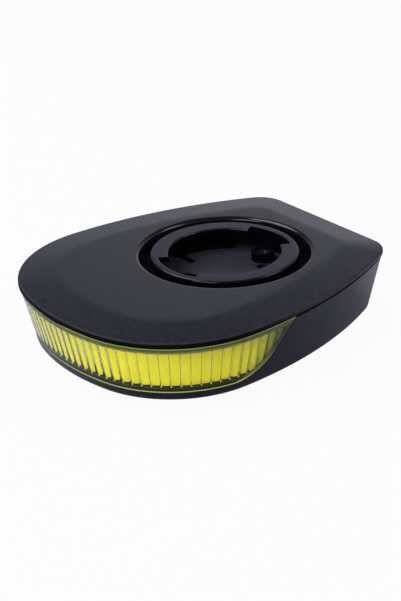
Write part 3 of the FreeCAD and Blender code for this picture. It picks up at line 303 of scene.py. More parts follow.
sheet = bmesh.new()
bmesh.ops.create_grid(sheet, x_segments=1, y_segments=1, size=3.0)
floor_mesh = bpy.data.meshes.new("table_top")
sheet.to_mesh(floor_mesh)
sheet.free()
floor_mesh.materials.append(floor_paint)
table_top = bpy.data.objects.new("table_top", floor_mesh)
bpy.context.scene.collection.objects.link(table_top)

# %% [markdown]
# Gloss is only a reflection, so a black part shows its form by what it mirrors. In a real studio the
# white sweep stands round the table and the ceiling above it is darker. So the glossy rays see a white
# with a trace of blue low down and a bluish grey overhead, and level faces come out darker than those
# that lean away. A grey screen at the far left keeps that side from turning as pale as the back.

# %% White surroundings
world = bpy.data.worlds.new("studio")
world.use_nodes = True
bpy.context.scene.world = world
sky = Graph(world.node_tree)
sideways, _, upwards = sky.split(sky.node("ShaderNodeTexCoord", output="Generated"))
left_side = (0.0 - sideways).step(0.74, 0.86)
ceiling = (upwards.step(0.12, 0.7) + left_side * 0.5) * sky.ray_is("Is Glossy Ray")
seen = sky.ray_is("Is Camera Ray", "Is Glossy Ray", "Is Transmission Ray")
lit = sky.node("ShaderNodeBackground", inputs={"Color": WHITE, "Strength": 0.45})
sheen = sky.mix(sky.ray_is("Is Glossy Ray"), WHITE, paint("#f3f6ff"))
sweep = sky.node("ShaderNodeBackground", inputs={"Color": sheen, "Strength": 1.0})
overhead = sky.node("ShaderNodeBackground", inputs={"Color": paint("#80869c"), "Strength": 1.0})
sky.show(sky.mixed(seen, lit, sky.mixed(ceiling, sweep, overhead)), "ShaderNodeOutputWorld")
bpy.context.scene.view_settings.view_transform = "Standard"

# %% Soft lamps
AIM = Vector((0, 0, 0.01))


def soft_lamp(name, place, width, power):
    """A square area lamp that faces the middle of the bicycle light."""
    lamp = bpy.data.lights.new(name, "AREA")
    lamp.size = width
    lamp.energy = power
    holder = bpy.data.objects.new(name, lamp)
    facing = (Vector(place) - AIM).to_track_quat("Z", "Y").to_matrix().to_4x4()
    holder.matrix_world = Matrix.Translation(place) @ facing
    bpy.context.scene.collection.objects.link(holder)
    print(f"{name}: {power} W at {[round(c, 2) for c in place]}")


soft_lamp("key_lamp", (-0.35, -0.25, 0.6), 0.5, 6.0)
soft_lamp("front_lamp", (0.25, -0.7, 0.35), 0.5, 4.5)
soft_lamp("side_lamp", (0.5, 0.45, 0.45), 0.4, 3.0)


# %% [markdown]
# ## The outline
# Cover, housing and lens all follow one outline: arcs for the nose, the shoulders, the flanks and the
# corners, and a straight tail. A curve object with a bevel could follow it, but the walls lean inwards and
# the plateau has tighter corners, so each height needs its own copy. Spin turns one vertex about the centre
# of each arc in turn and leaves a chain of edges behind. Only the right half is drawn, and every chain
# has the same number of vertices, so that two chains can be bridged with clean four-sided faces.

# %% Chains that follow the outline
NOSE_LENGTH, TAIL_LENGTH = 46.5, 30.5
NOSE_RADIUS, SHOULDER_RADIUS, FLANK_RADIUS, CORNER_RADIUS = 54.0, 27.0, 100.0, 7.0
NOSE_Y = NOSE_RADIUS - NOSE_LENGTH
HALF_WIDTH = 33.5
SHOULDER_X, FLANK_X = HALF_WIDTH - SHOULDER_RADIUS, HALF_WIDTH - FLANK_RADIUS
WIDEST_Y = NOSE_Y - math.sqrt((NOSE_RADIUS - SHOULDER_RADIUS) ** 2 - SHOULDER_X ** 2)
NOSE_TURN = math.atan2(SHOULDER_X, NOSE_Y - WIDEST_Y)
NOSE_STEPS, SHOULDER_STEPS, FLANK_STEPS, CORNER_STEPS, TAIL_STEPS = 12, 34, 24, 14, 8
CHAIN_STEPS = NOSE_STEPS + SHOULDER_STEPS + FLANK_STEPS + CORNER_STEPS + TAIL_STEPS
UPRIGHT, BACKWARDS = (0, 0, 1), (0, 1, 0)


def swing(shape, tip, centre, angle, steps, axis=UPRIGHT):
    """Turns the last vertex of a chain about an axis, and returns the new last one."""
    turned = bmesh.ops.spin(
        shape, geom=[tip], cent=centre, axis=axis, angle=angle, steps=steps, use_duplicate=False,
    )
    return next(item for item in turned["geom_last"] if isinstance(item, bmesh.types.BMVert))


def straight(shape, tip, end, steps):
    """Draws a straight run of edges from the last vertex of a chain to a place."""
    step = (Vector(end) - tip.co) / steps
    for _ in range(steps):
        longer = bmesh.ops.extrude_vert_indiv(shape, verts=[tip])
        tip = longer["verts"][0]
        tip.co += step
    return tip


def outline_chain(shape, level, inset, tail=None, corner=None, fine=1):
    """Half of the outline at a height, moved inwards, as the edges from nose to tail."""
    tail = inset if tail is None else tail
    corner = CORNER_RADIUS - inset if corner is None else corner
    bend_y = TAIL_LENGTH - tail - corner
    rise = math.asin((bend_y - WIDEST_Y) / (FLANK_RADIUS - inset - corner))
    bend_x = FLANK_X + math.cos(rise) * (FLANK_RADIUS - inset - corner)
    before = set(shape.edges)
    tip = shape.verts.new((0, inset - NOSE_LENGTH, level))
    tip = swing(shape, tip, (0, NOSE_Y, 0), NOSE_TURN, NOSE_STEPS * fine)
    tip = swing(shape, tip, (SHOULDER_X, WIDEST_Y, 0), math.pi / 2 - NOSE_TURN, SHOULDER_STEPS * fine)
    tip = swing(shape, tip, (FLANK_X, WIDEST_Y, 0), rise, FLANK_STEPS * fine)
    tip = swing(shape, tip, (bend_x, bend_y, 0), math.pi / 2 - rise, CORNER_STEPS)
    straight(shape, tip, (0, TAIL_LENGTH - tail, level), TAIL_STEPS)
    return [edge for edge in shape.edges if edge not in before]


def circle_chain(shape, level, radius):
    """Half of a circle about the socket's axis, with as many steps as the outline."""
    before = set(shape.edges)
    swing(shape, shape.verts.new((0, -radius, level)), (0, 0, 0), math.pi, CHAIN_STEPS)
    return [edge for edge in shape.edges if edge not in before]


print("outline: widest at y =", round(WIDEST_Y, 3), "steps in half of it:", CHAIN_STEPS)

# %% [markdown]
# ## From chains to a finished piece
# Bridging each chain with the next gives a skin. A piece is only ready when its skin is closed, its
# doubles are merged and its faces point outwards. One function does the last two, turns millimetres into
# metres and counts the open edges, of which a closed piece has none.

# %% Skin, mirror and finish
MM, WELD = 0.001, 1e-4


def skin(shape, chains, closed=False):
    """Bridges each chain with the next one, and the last with the first if it is a loop of chains."""
    following = chains[1:] + (chains[:1] if closed else [])
    for first, second in zip(chains, following):
        bmesh.ops.bridge_loops(shape, edges=first + second)


def add_left_half(shape):
    """Mirrors a shape that was drawn on the right of the middle."""
    everything = shape.verts[:] + shape.edges[:] + shape.faces[:]
    bmesh.ops.mirror(shape, geom=everything, axis="X", merge_dist=WELD)


def merge(shape):
    """Makes one vertex of those that lie in one place."""
    bmesh.ops.remove_doubles(shape, verts=shape.verts, dist=WELD)


def piece_from(shape, name, body, finish, angle=32, soft=0.0):
    """Makes an object of a finished shape: outward, in metres, with smooth shading."""
    merge(shape)
    bmesh.ops.recalc_face_normals(shape, faces=shape.faces)
    bmesh.ops.scale(shape, vec=(MM, MM, MM), verts=shape.verts)
    loose = sum(1 for edge in shape.edges if len(edge.link_faces) != 2)
    mesh = bpy.data.meshes.new(name)
    shape.to_mesh(mesh)
    shape.free()
    piece = bpy.data.objects.new(name, mesh)
    bpy.context.scene.collection.objects.link(piece)
    mesh.materials.append(finish.material)
    even_shading(piece, angle, soft)
    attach(piece, body)
    print(f"{name}: {len(mesh.polygons)} faces, {loose} open edges")
    return piece


def even_shading(piece, angle=32, soft=0.0):
    """Smooth shading, hard only where faces meet at more than the angle.

    Where soft is given, hard edges first get a round of so many millimetres.
    """
    mesh = piece.data
    mesh.polygons.foreach_set("use_smooth", [True] * len(mesh.polygons))
    if soft:
        edge = piece.modifiers.new("soft edges", "BEVEL")
        edge.width = soft * MM
        edge.segments = 2
        edge.limit_method = "ANGLE"
        edge.angle_limit = math.radians(48)
    mesh.set_sharp_from_angle(angle=math.radians(angle))
    weighted = piece.modifiers.new("even shading", "WEIGHTED_NORMAL")
    weighted.keep_sharp = True


# %% [markdown]
# ## Parts whose CAD shape is already right
# Screws, seals and boards need no new shape, but a CAD node is a heap of loose flat triangles, which would
# show as facets on anything round. Where a part shows, a copy of its mesh is merged and shaded smoothly,
# and stands for the node. The node itself is never touched.

# %% Smooth copies of CAD nodes
def smooth_copy(node, finish, angle=32, soft=0.0):
    """A merged and smoothly shaded copy of a CAD node, which stands for it."""
    shape = bmesh.new()
    shape.from_mesh(nodes[node].data)
    bmesh.ops.scale(shape, vec=(1000, 1000, 1000), verts=shape.verts)
    merge(shape)
    if soft:
        bmesh.ops.dissolve_limit(shape, angle_limit=math.radians(1), verts=shape.verts, edges=shape.edges)
    piece = piece_from(shape, f"{node}_shown", nodes[node]["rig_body"], finish, angle=angle, soft=soft)
    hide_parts(node)
    return piece


# %% [markdown]
# ## Turned parts
# A part that was turned on a lathe is half a section spun about an axis. The section's sharp corners are
# rounded first, as a flat chain of edges, with a bevel of its vertices: that is far simpler than
# bevelling the finished part. A point may carry the radius of its corner as a third number.

# %% Lathe work
def loop_through(shape, places):
    """A closed loop of edges through some places: its corners and its edges."""
    corners = [shape.verts.new(place) for place in places]
    return corners, [shape.edges.new(pair) for pair in zip(corners, corners[1:] + corners[:1])]


def round_corner(shape, corner, reach, segments):
    """Rounds one corner of a flat chain, from so far before it to so far after it."""
    bmesh.ops.bevel(
        shape, geom=[corner], offset=reach, offset_type="OFFSET", affect="VERTICES",
        segments=segments, profile=0.5, material=-1,
    )


def section(shape, points):
    """A closed section in the XZ plane from (radius, height[, corner radius]) points."""
    corners, _ = loop_through(shape, [(point[0], 0, point[1]) for point in points])
    for corner, point in zip(corners, points):
        if len(point) == 3:
            round_corner(shape, corner, point[2], 4)
    return shape.verts[:], shape.edges[:]


def tube(shape, x, y, inner, outer, low, high, steps=32):
    """A plain upright tube as a closed shell of its own inside a shape."""
    profile = ((inner, low), (outer, low), (outer, high), (inner, high))
    corners, edges = loop_through(shape, [(x + radius, y, z) for radius, z in profile])
    bmesh.ops.spin(
        shape, geom=corners + edges, cent=(x, y, 0), axis=UPRIGHT,
        angle=2 * math.pi, steps=steps, use_merge=True,
    )


# %% [markdown]
# ## Pockets, holes and posts
# A round hole in a turned or drafted wall is hard to bridge by hand. The real part has them from pins in
# its mould, and the same is done here: simple closed tool shapes are joined to a body or cut out of it
# with a Boolean, and the result is taken back as a shape, so that the modelling can go on.

# %% Tools and cuts
def block(shape, x, y, z):
    """A box between two numbers on each axis."""
    made = bmesh.ops.create_cube(shape, size=1.0)["verts"]
    bmesh.ops.scale(shape, vec=[b - a for a, b in (x, y, z)], verts=made)
    bmesh.ops.translate(shape, vec=[(a + b) / 2 for a, b in (x, y, z)], verts=made)
    return made


def pin(shape, x, y, radius, low, high, steps=32, top=None):
    """An upright pin, or a cone if its top has another radius."""
    top = radius if top is None else top
    made = bmesh.ops.create_cone(
        shape, cap_ends=True, segments=steps, radius1=radius, radius2=top, depth=high - low,
    )["verts"]
    bmesh.ops.translate(shape, vec=(x, y, (low + high) / 2), verts=made)
    return made


def turn_over(shape, verts, degrees, axis):
    """Turns vertices about an axis through the origin."""
    turned = Matrix.Rotation(math.radians(degrees), 3, axis)
    bmesh.ops.rotate(shape, verts=verts, cent=(0, 0, 0), matrix=turned)


def lying_pin(shape, x, z, radius, near, far, steps=32):
    """A pin that points to the back, between two distances from the socket's axis."""
    made = pin(shape, 0, 0, radius, near, far, steps)
    turn_over(shape, made, -90, "X")
    bmesh.ops.translate(shape, vec=(x, 0, z), verts=made)


def slice_of_ring(shape, inner, outer, low, high, middle, width, steps=24):
    """Part of a ring about the socket's axis, by the angle of its middle and its width in degrees."""
    start = math.radians(middle - width / 2)
    corners = [
        shape.verts.new((r * math.cos(start), r * math.sin(start), z))
        for r, z in ((inner, low), (outer, low), (outer, high), (inner, high))
    ]
    first = shape.faces.new(corners)
    bmesh.ops.spin(
        shape, geom=[first], cent=(0, 0, 0), axis=UPRIGHT, angle=math.radians(width), steps=steps,
    )


def combined(shape, tools, operation="DIFFERENCE"):
    """The shape with the tool shapes cut out of it, or joined to it."""
    holders = []
    for part in (shape, tools):
        bmesh.ops.recalc_face_normals(part, faces=part.faces)
        mesh = bpy.data.meshes.new("work")
        part.to_mesh(mesh)
        part.free()
        holders.append(bpy.data.objects.new("work", mesh))
        bpy.context.scene.collection.objects.link(holders[-1])
    cut = holders[0].modifiers.new("cut", "BOOLEAN")
    cut.object, cut.operation, cut.solver, cut.use_self = holders[1], operation, "EXACT", True
    result = bmesh.new()
    result.from_object(holders[0], bpy.context.evaluated_depsgraph_get())
    for holder in holders:
        bpy.data.meshes.remove(holder.data)
    return result


# %% [markdown]
# ## Finish of the top cover
# The cover is moulded in black plastic from a spark-eroded mould, which leaves a satin skin of tiny
# pits. A flat black would look like a hole, so the skin gets three scales: pits 0.3 mm wide as a bump,
# a faint mottle in the colour, and slow clouds in the gloss where hands have rubbed it. Below the rim
# shade is painted in: the colour turns near black and a dull black that hardly mirrors is mixed in.
# Over the lens that painted shade begins right under the rim, and at the sides and the back only in the
# joint with the housing, so two masks are blended from the nose to the middle. The socket's hole is
# painted near black as shade too.

# %% Cover plastic
cover_plastic = Finish("cover_plastic", IOR=1.5, Specular_IOR_Level=0.24)
x, y, z = cover_plastic.axes()
pits = cover_plastic.noise(0.3, detail=1.0)
mottle = cover_plastic.noise(1.3, detail=2.0)
clouds = cover_plastic.noise(17.0, detail=2.0)
hole = 1.0 - distance(x, y).step(19.9, 20.3)
rim = z.step(17.3, 17.5) * (1.0 - z.step(17.58, 17.66))
worn = rim * cover_plastic.noise(0.9, detail=3.0).step(0.4, 0.62)
nose = 1.0 - y.step(-22.0, 2.0)
near_rim, far_rim = z.step(17.35, 17.6), z.step(16.72, 16.86)
edge = far_rim + (near_rim - far_rim) * nose
gap = (1.0 - z.step(16.78, 16.9)) * (1.0 - nose) + 0.85 * nose * (1.0 - z.step(17.45, 17.62))
ink = cover_plastic.mix(mottle.step(0.3, 0.7), paint("#0c0c11"), paint("#121218"))
# Painted shade: below the rim and in the socket's hole the colour turns near black.
ink = cover_plastic.mix(edge * (1.0 - hole), paint("#050507"), ink)
skin_gloss = 0.22 + 0.07 * mottle + 0.06 * clouds
cover_plastic.vary(
    Base_Color=cover_plastic.mix(worn * 0.15, ink, paint("#34343e")),
    Roughness=skin_gloss * (1.0 - hole * 0.5) * (0.35 + 0.65 * edge) + 0.35 * rim,
    Normal=cover_plastic.bump(pits, 0.0015),
)
# Painted shade in the joint under the rim: a dull black that hardly mirrors is mixed in.
cover_plastic.paint_shade(gap * (1.0 - hole))

# %% [markdown]
# ## Top cover
# Seen in section, the cover is one closed loop: plateau, sloping band, thin rim, the groove for its
# seal, the skirt that finds the housing, and the underside. Each corner of that section is a chain, so
# the whole cover is a loop of bridged chains. The band runs into the plateau without an edge, because
# five chains lie on that bend.

# %% Top cover
PLATEAU, RIM_TOP, SEAM, LID = 18.6, 17.6, 16.6, 17.0


def band_chain(shape, share, lift=0.0):
    """A chain on the sloping band: share 0 is the rim and share 1 the edge of the plateau."""
    inset = 0.35 + share * 8.15
    return outline_chain(shape, RIM_TOP + share + lift, inset, 0.35 + share * 6.85, 6.65 - share * 1.65)


cover = bmesh.new()
top_side = [
    circle_chain(cover, LID, 19.2), circle_chain(cover, 17.8, 19.2), circle_chain(cover, 18.05, 19.25),
    circle_chain(cover, 18.3, 19.42), circle_chain(cover, 18.48, 19.67), circle_chain(cover, 18.57, 19.93),
    circle_chain(cover, PLATEAU, 20.2),
    outline_chain(cover, PLATEAU, 10.2, 8.9, 4.2), outline_chain(cover, 18.592, 9.3, 8.0, 4.6),
    band_chain(cover, 1.0, -0.028), band_chain(cover, 0.9, -0.012), band_chain(cover, 0.78),
    band_chain(cover, 0.5), band_chain(cover, 0.2), band_chain(cover, 0.03, -0.002),
    outline_chain(cover, 17.567, 0.2), outline_chain(cover, 17.5, 0.1), outline_chain(cover, 17.4, 0.03),
    outline_chain(cover, 17.25, 0.0), outline_chain(cover, 16.72, 0.0), outline_chain(cover, 16.63, 0.03),
    outline_chain(cover, SEAM, 0.1),
]
under_side = [
    outline_chain(cover, level, inset)
    for inset, level in (
        (2.0, SEAM), (2.0, 17.4), (3.0, 17.4), (3.0, SEAM), (3.5, SEAM), (3.5, 15.4), (4.6, 15.4), (4.6, LID),
    )
]
skin(cover, top_side + under_side, closed=True)
add_left_half(cover)
COVER_SCREWS = [(side * x, y) for side in (-1, 1) for x, y in ((22.5, -17.5), (18.0, 20.0))]
for x, y in COVER_SCREWS:
    tube(cover, x, y, 1.0, 2.5, 9.7, LID + 0.05)
top_cover = piece_from(cover, "top_cover_shell", "light", cover_plastic)
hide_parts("top_cover")


# %% [markdown]
# ## Computer socket
# The socket is a turned cup with a groove round its ring. Its lip is missing over two notches, through
# which the computer's tabs drop before they turn. So two sections are spun in turn: one with the lip and
# one without. Where they meet, only the lip's end is open, and holes_fill closes it. The upper face is
# deep black. The cup's floor is painted a paler grey with specks, as painted light, and the walls
# between them are painted as a dull black shade.

# %% Socket plastic
BOSS_Y = 11.1
socket_plastic = Finish("socket_plastic", IOR=1.5, Specular_IOR_Level=0.17)
x, y, z = socket_plastic.axes()
radius = distance(x, y)
grain = socket_plastic.noise(0.2, detail=3.0)
turned_marks = socket_plastic.noise(3.0, detail=3.0)
top = z.step(18.45, 18.56)
pit = 1.0 - z.step(13.05, 13.15)
trench = radius.step(16.75, 16.9) * (1.0 - z.step(16.25, 16.45))
near_boss = 1.0 - distance(x, abs(y) - BOSS_Y).step(2.8, 3.0)
boss_face = near_boss * z.step(13.3, 13.4) * (1.0 - z.step(15.5, 15.7))
stop_face = z.step(14.2, 14.35) * (1.0 - z.step(14.45, 14.7)) * radius.step(12.9, 13.1)
foot_of_wall = radius.step(15.0, 15.2) * (1.0 - z.step(13.7, 13.9))
raised_face = boss_face * 0.3 + stop_face + foot_of_wall
floor = (1.0 - z.step(13.22, 13.3)) * (1.0 - radius.step(15.0, 15.6)) * (1.0 - pit)
ink = socket_plastic.mix(socket_plastic.noise(1.3, detail=3.0), paint("#0a0a10"), paint("#101018"))
ink = socket_plastic.mix(top, paint("#030304"), ink)
# Painted light: the cup's floor is painted a paler grey with specks.
specks = socket_plastic.noise(2.2, detail=5.0, rough=0.6)
lit_floor_paint = socket_plastic.mix(specks, paint("#1b1b21"), paint("#2a2a32"))
# Painted shade: the walls between the upper face and the floor get a dull black.
walls_in_painted_shade = (1.0 - z.step(18.1, 18.4)) * z.step(13.25, 13.4)
socket_plastic.vary(
    Base_Color=socket_plastic.mix(floor, ink, lit_floor_paint),
    Roughness=0.05 + 0.05 * turned_marks + 0.18 * top + 0.25 * floor + 0.6 * trench + 0.5 * raised_face,
    Normal=socket_plastic.bump(grain, 0.004),
)
socket_plastic.paint_shade(walls_in_painted_shade * 0.95)

# %% Socket body
RING, GROOVE, FLANGE, BORE, CHAMBER, NOTCH = 16.7, 19.2, 20.9, 12.7, 15.7, 15.1
CUP_FLOOR = 13.2
ring_outside = [
    (FLANGE, 15.0), (FLANGE, 16.5), (GROOVE, 16.5), (GROOVE, 16.2, 0.2),
    (RING, 16.2, 0.2), (RING, PLATEAU, 0.45),
]
with_lip = [(BORE, PLATEAU, 0.35), (BORE, 17.2, 0.15), (CHAMBER, 17.2)]
without_lip = [(NOTCH, PLATEAU, 0.25), (NOTCH, 17.2), (CHAMBER, 17.2)]
cup_inside = [(CHAMBER, CUP_FLOOR, 0.4), (0.0, CUP_FLOOR), (0.0, 12.0), (RING, 12.0, 0.3), (RING, 15.0)]


def turn_section(points, start, angle, steps):
    """Spins a section about the socket's axis over part of a turn."""
    part = bmesh.new()
    verts, edges = section(part, points)
    turn_over(part, verts, start, "Z")
    bmesh.ops.spin(
        part, geom=verts + edges, cent=(0, 0, 0), axis=UPRIGHT, angle=math.radians(angle), steps=steps,
    )
    mesh = bpy.data.meshes.new("part")
    part.to_mesh(mesh)
    part.free()
    return mesh


socket = bmesh.new()
for middle in (-90, 90):
    for points, start, angle, steps in (
        (ring_outside + without_lip + cup_inside, middle - 27, 54, 24),
        (ring_outside + with_lip + cup_inside, middle + 27, 126, 56),
    ):
        part = turn_section(points, start, angle, steps)
        socket.from_mesh(part)
        bpy.data.meshes.remove(part)
bmesh.ops.remove_doubles(socket, verts=socket.verts, dist=1e-3)
open_edges = [edge for edge in socket.edges if len(edge.link_faces) == 1]
filled = bmesh.ops.holes_fill(socket, edges=open_edges, sides=0)
print("ends of the lip that were closed:", len(filled["faces"]))

# %% [markdown]
# The cup holds more than the ring: two bosses with sunk screws on the line to the nose, two low blocks
# that stop the computer's tabs after their turn, two slots and two dimples for locating it. They are
# moulded with the cup, so they are joined to its body or cut into it and aren't separate pieces.

# %% Bosses, stops, screw seats, slots and dimples
raised = bmesh.new()
for side in (-1, 1):
    pin(raised, 0, side * BOSS_Y, 2.7, 13.0, 15.3, 40)
for middle in (162, -18):
    slice_of_ring(raised, 13.2, 15.75, 13.0, 14.4, middle, 56)
socket = combined(socket, raised, "UNION")
sunk = bmesh.new()
for side in (-1, 1):
    pin(sunk, 0, side * BOSS_Y, 1.95, 13.7, 16.0, 40)
    pin(sunk, 0, side * BOSS_Y, 1.1, 11.0, 13.8, 32)
    pin(sunk, side * 2.9, side * 8.2, 1.15, 12.5, 13.4, 32)
    block(sunk, sorted((side * 9.2, side * 14.4)), (side * 1.9 - 0.8, side * 1.9 + 0.8), (12.5, 13.4))
socket = combined(socket, sunk)
print("faces of the socket with its details:", len(socket.faces))
computer_socket = piece_from(socket, "computer_socket_cup", "light", socket_plastic, soft=0.1)
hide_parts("computer_socket")

# %% [markdown]
# ## Finish of the lower housing
# The housing comes from a smoother mould than the cover, so it is darker and shinier. Its lower edge
# touches tables and bars, and there the shine is broken by short fine scuffs. Its last half millimetre
# under the cover is the joint, where no light gets in, so shade is painted there as a dull black.

# %% Housing plastic
housing_plastic = Finish("housing_plastic", IOR=1.5, Specular_IOR_Level=0.24)
x, y, z = housing_plastic.axes()
grain = housing_plastic.noise(0.14, detail=3.0, rough=0.6)
mottle = housing_plastic.noise(1.6, detail=4.0, rough=0.6)
scuffs = (1.0 - z.step(3.2, 4.4)) * housing_plastic.noise(0.5, detail=4.0, rough=0.7).step(0.5, 0.66)
dark = housing_plastic.mix(mottle.step(0.3, 0.7), paint("#0b0b13"), paint("#11111b"))
housing_plastic.vary(
    Base_Color=housing_plastic.mix(scuffs * 0.55, dark, paint("#45454d")),
    Roughness=0.2 + 0.08 * mottle + 0.2 * scuffs,
    Normal=housing_plastic.bump(grain, 0.006),
)
# Painted shade: the top of the wall in the joint under the cover gets a dull black.
housing_plastic.paint_shade(z.step(16.03, 16.14))

# %% [markdown]
# ## Lower housing
# The housing is a drafted tub. In section it is again one loop of chains: the sole with the round recess
# for the foot, the turned lower edge, the leaning wall, the shadow step under the cover, the ledge, and
# back down the inside. Its lean is written as a function of the height, so that every chain agrees.

# %% Walls of the tub
SOLE, FLOOR, INNER_FLOOR, LEDGE, WALL = 3.1, 4.7, 6.0, 15.4, 1.6
UNDER_COVER, SIDE_LEAN, TAIL_LEAN, EDGE_TOP = 0.2, 3.1, 1.6, 3.7


def lean(level, foot, wall=0.0):
    """How far the wall stands in from the outline at a height, for the sides or for the tail."""
    return UNDER_COVER + foot * (SEAM - level) / (SEAM - SOLE) + wall


def wall_chain(shape, level, inwards=0.0, corner=CORNER_RADIUS):
    """A chain on the leaning wall, or moved inwards from it."""
    sides, tail = lean(level, SIDE_LEAN, inwards), lean(level, TAIL_LEAN, inwards)
    return outline_chain(shape, level, sides, tail, corner)


def edge_chain(shape, level, inwards, corner):
    """A chain on the round of the lower edge, moved inwards from where the wall begins."""
    sides, tail = lean(EDGE_TOP, SIDE_LEAN, inwards), lean(EDGE_TOP, TAIL_LEAN, inwards)
    return outline_chain(shape, level, sides, tail, corner)


tub = bmesh.new()
sections = [
    circle_chain(tub, 4.6, 18.6), circle_chain(tub, SOLE, 18.6),
    edge_chain(tub, SOLE, 0.62, 6.4), edge_chain(tub, 3.16, 0.36, 6.65), edge_chain(tub, 3.32, 0.15, 6.85),
    wall_chain(tub, 3.62, 0.02), wall_chain(tub, 3.9), wall_chain(tub, 10.0), wall_chain(tub, 16.32),
    wall_chain(tub, 16.4, 0.06), outline_chain(tub, 16.4, 0.6), outline_chain(tub, SEAM, 0.6),
    outline_chain(tub, SEAM, 3.2), outline_chain(tub, LEDGE, 3.2), wall_chain(tub, LEDGE, WALL, 5.4),
    wall_chain(tub, FLOOR, WALL, 5.4), circle_chain(tub, FLOOR, 19.7), circle_chain(tub, INNER_FLOOR, 19.7),
]
skin(tub, sections)
add_left_half(tub)
merge(tub)
rounds = [edge for edge in tub.edges if len(edge.link_faces) == 1]
bmesh.ops.holes_fill(tub, edges=rounds, sides=0)
print("faces of the tub:", len(tub.faces), "open edges:", sum(1 for e in tub.edges if len(e.link_faces) != 2))

# %% [markdown]
# ## Window for the lens
# The lens wraps the nose, and the housing stops at a slanted line that curves into the sill below it.
# The cut is a prism across the body. Its side profile needs one round inner corner, so it is drawn as a
# chain of edges, its corner is bevelled as a vertex, and the face is extruded over the width.

# %% The lens's side profile, and the window
SILL, LENS_START, LENS_CORNER, SLANT = 5.0, -6.4, 13.0, math.radians(51.3)
PAST_THE_SIDES, PAST_THE_NOSE = 40, -60


def thicken(shape, way):
    """Fills a closed loop of edges and draws the face out into a solid. Returns the far faces."""
    face = bmesh.ops.contextual_create(shape, geom=shape.edges[:])["faces"]
    moved = bmesh.ops.extrude_face_region(shape, geom=face)["geom"]
    verts = [item for item in moved if isinstance(item, bmesh.types.BMVert)]
    bmesh.ops.translate(shape, vec=way, verts=verts)
    return [item for item in moved if isinstance(item, bmesh.types.BMFace)]


def lens_profile(shape, gap=0.0):
    """A prism across the body: in front of the slanted line, above the sill, with a round corner."""
    start = LENS_START - gap / math.sin(SLANT)
    corner_y = start - (SEAM - SILL) / math.tan(SLANT)
    top_y = start + 1.0 / math.tan(SLANT)
    points = [(top_y, SEAM + 1), (corner_y, SILL), (PAST_THE_NOSE, SILL), (PAST_THE_NOSE, SEAM + 1)]
    corners, _ = loop_through(shape, [(-PAST_THE_SIDES, *point) for point in points])
    round_corner(shape, corners[1], (LENS_CORNER - gap) * math.tan(SLANT / 2), 24)
    thicken(shape, (2 * PAST_THE_SIDES, 0, 0))


window = bmesh.new()
lens_profile(window)
tub = combined(tub, window)
print("faces after the window was cut:", len(tub.faces))

# %% [markdown]
# ## Posts, ribs and openings
# Inside stand the posts for the socket, the foot, the cover and the board, and the ribs that hold the
# battery. The back wall is thicker round the port. All of these are moulded with the tub, so they are
# joined to it first, and the screw holes and the openings in the back wall are cut after that.

# %% Posts and ribs
FOOT_SCREWS = [(a * 11.243, b * 11.243) for a in (-1, 1) for b in (-1, 1)]
BOARD_SCREWS = [(a * 18.5, y) for a in (-1, 1) for y in (-8.0, 9.5)]
CARRIER_TABS = [(0.0, -37.0), (-23.4, -23.24), (23.4, -23.24)]

posts = bmesh.new()
for side in (-1, 1):
    pin(posts, 0, side * BOSS_Y, 2.4, 5.0, 12.0)
    block(posts, sorted((side * 18.4, side * 19.4)), (-29.1, -16.4), (4.0, 8.7))
    block(posts, sorted((side * 9.0, side * 19.4)), (-17.4, -16.4), (4.0, 8.7))
for x, y in FOOT_SCREWS:
    pin(posts, x, y, 2.4, 5.0, 8.8)
for x, y in COVER_SCREWS:
    pin(posts, x, y, 2.6, 4.0, 9.6)
for x, y in BOARD_SCREWS:
    pin(posts, x, y, 1.9, 4.0, 9.3)
for x, y in CARRIER_TABS:
    pin(posts, x, y, 1.9, 4.0, 7.2)
block(posts, (0.4, 15.6), (26.4, 29.2), (7.83, 15.4))
tub = combined(tub, posts, "UNION")

# %% Holes and openings
sunk = bmesh.new()
for x, y in COVER_SCREWS:
    pin(sunk, x, y, 2.05, 2.0, 5.3, 40)
    pin(sunk, x, y, 1.1, 2.0, 12.0)
for x, y in FOOT_SCREWS:
    pin(sunk, x, y, 1.0, 2.0, 8.2)
for side in (-1, 1):
    pin(sunk, 0, side * BOSS_Y, 1.0, 8.0, 13.0)
for x, y in BOARD_SCREWS:
    pin(sunk, x, y, 0.75, 6.3, 10.0)
for x, y in CARRIER_TABS:
    pin(sunk, x, y, 0.75, 5.3, 8.0)
PORT_X, PORT_Z, BUTTON_X = 8.0, 11.93, -8.5
block(sunk, (1.1, 14.9), (28.746, 32), (PORT_Z - 3.4, PORT_Z + 3.4))
block(sunk, (5.0, 11.0), (28.25, 32), (6.83, 8.73))
for middle, width, height in ((PORT_X, 9.14, 3.46), (BUTTON_X, 11.5, 5.7)):
    straight_half = (width - height) / 2
    low, high = PORT_Z - height / 2, PORT_Z + height / 2
    block(sunk, (middle - straight_half, middle + straight_half), (20, 32), (low, high))
    for side in (-1, 1):
        lying_pin(sunk, middle + side * straight_half, PORT_Z, height / 2, 20, 32, 40)
lying_pin(sunk, -0.9, PORT_Z, 0.9, 20, 32)
tub = combined(tub, sunk)
lower_housing = piece_from(tub, "lower_housing_tub", "light", housing_plastic, soft=0.1)
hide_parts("lower_housing")

# %% [markdown]
# ## Light source
# Behind the lens a yellow strip runs round the nose. It is silicone filled with phosphor, cast over a row
# of small chips, and it stands on a white flexible board that is bent round a sheet metal carrier. The
# chips under the silicone show as a row of slightly paler spots, one every 1.5 mm. Their place along the
# strip comes from the angle about a point in the nose, times its distance from the strip.

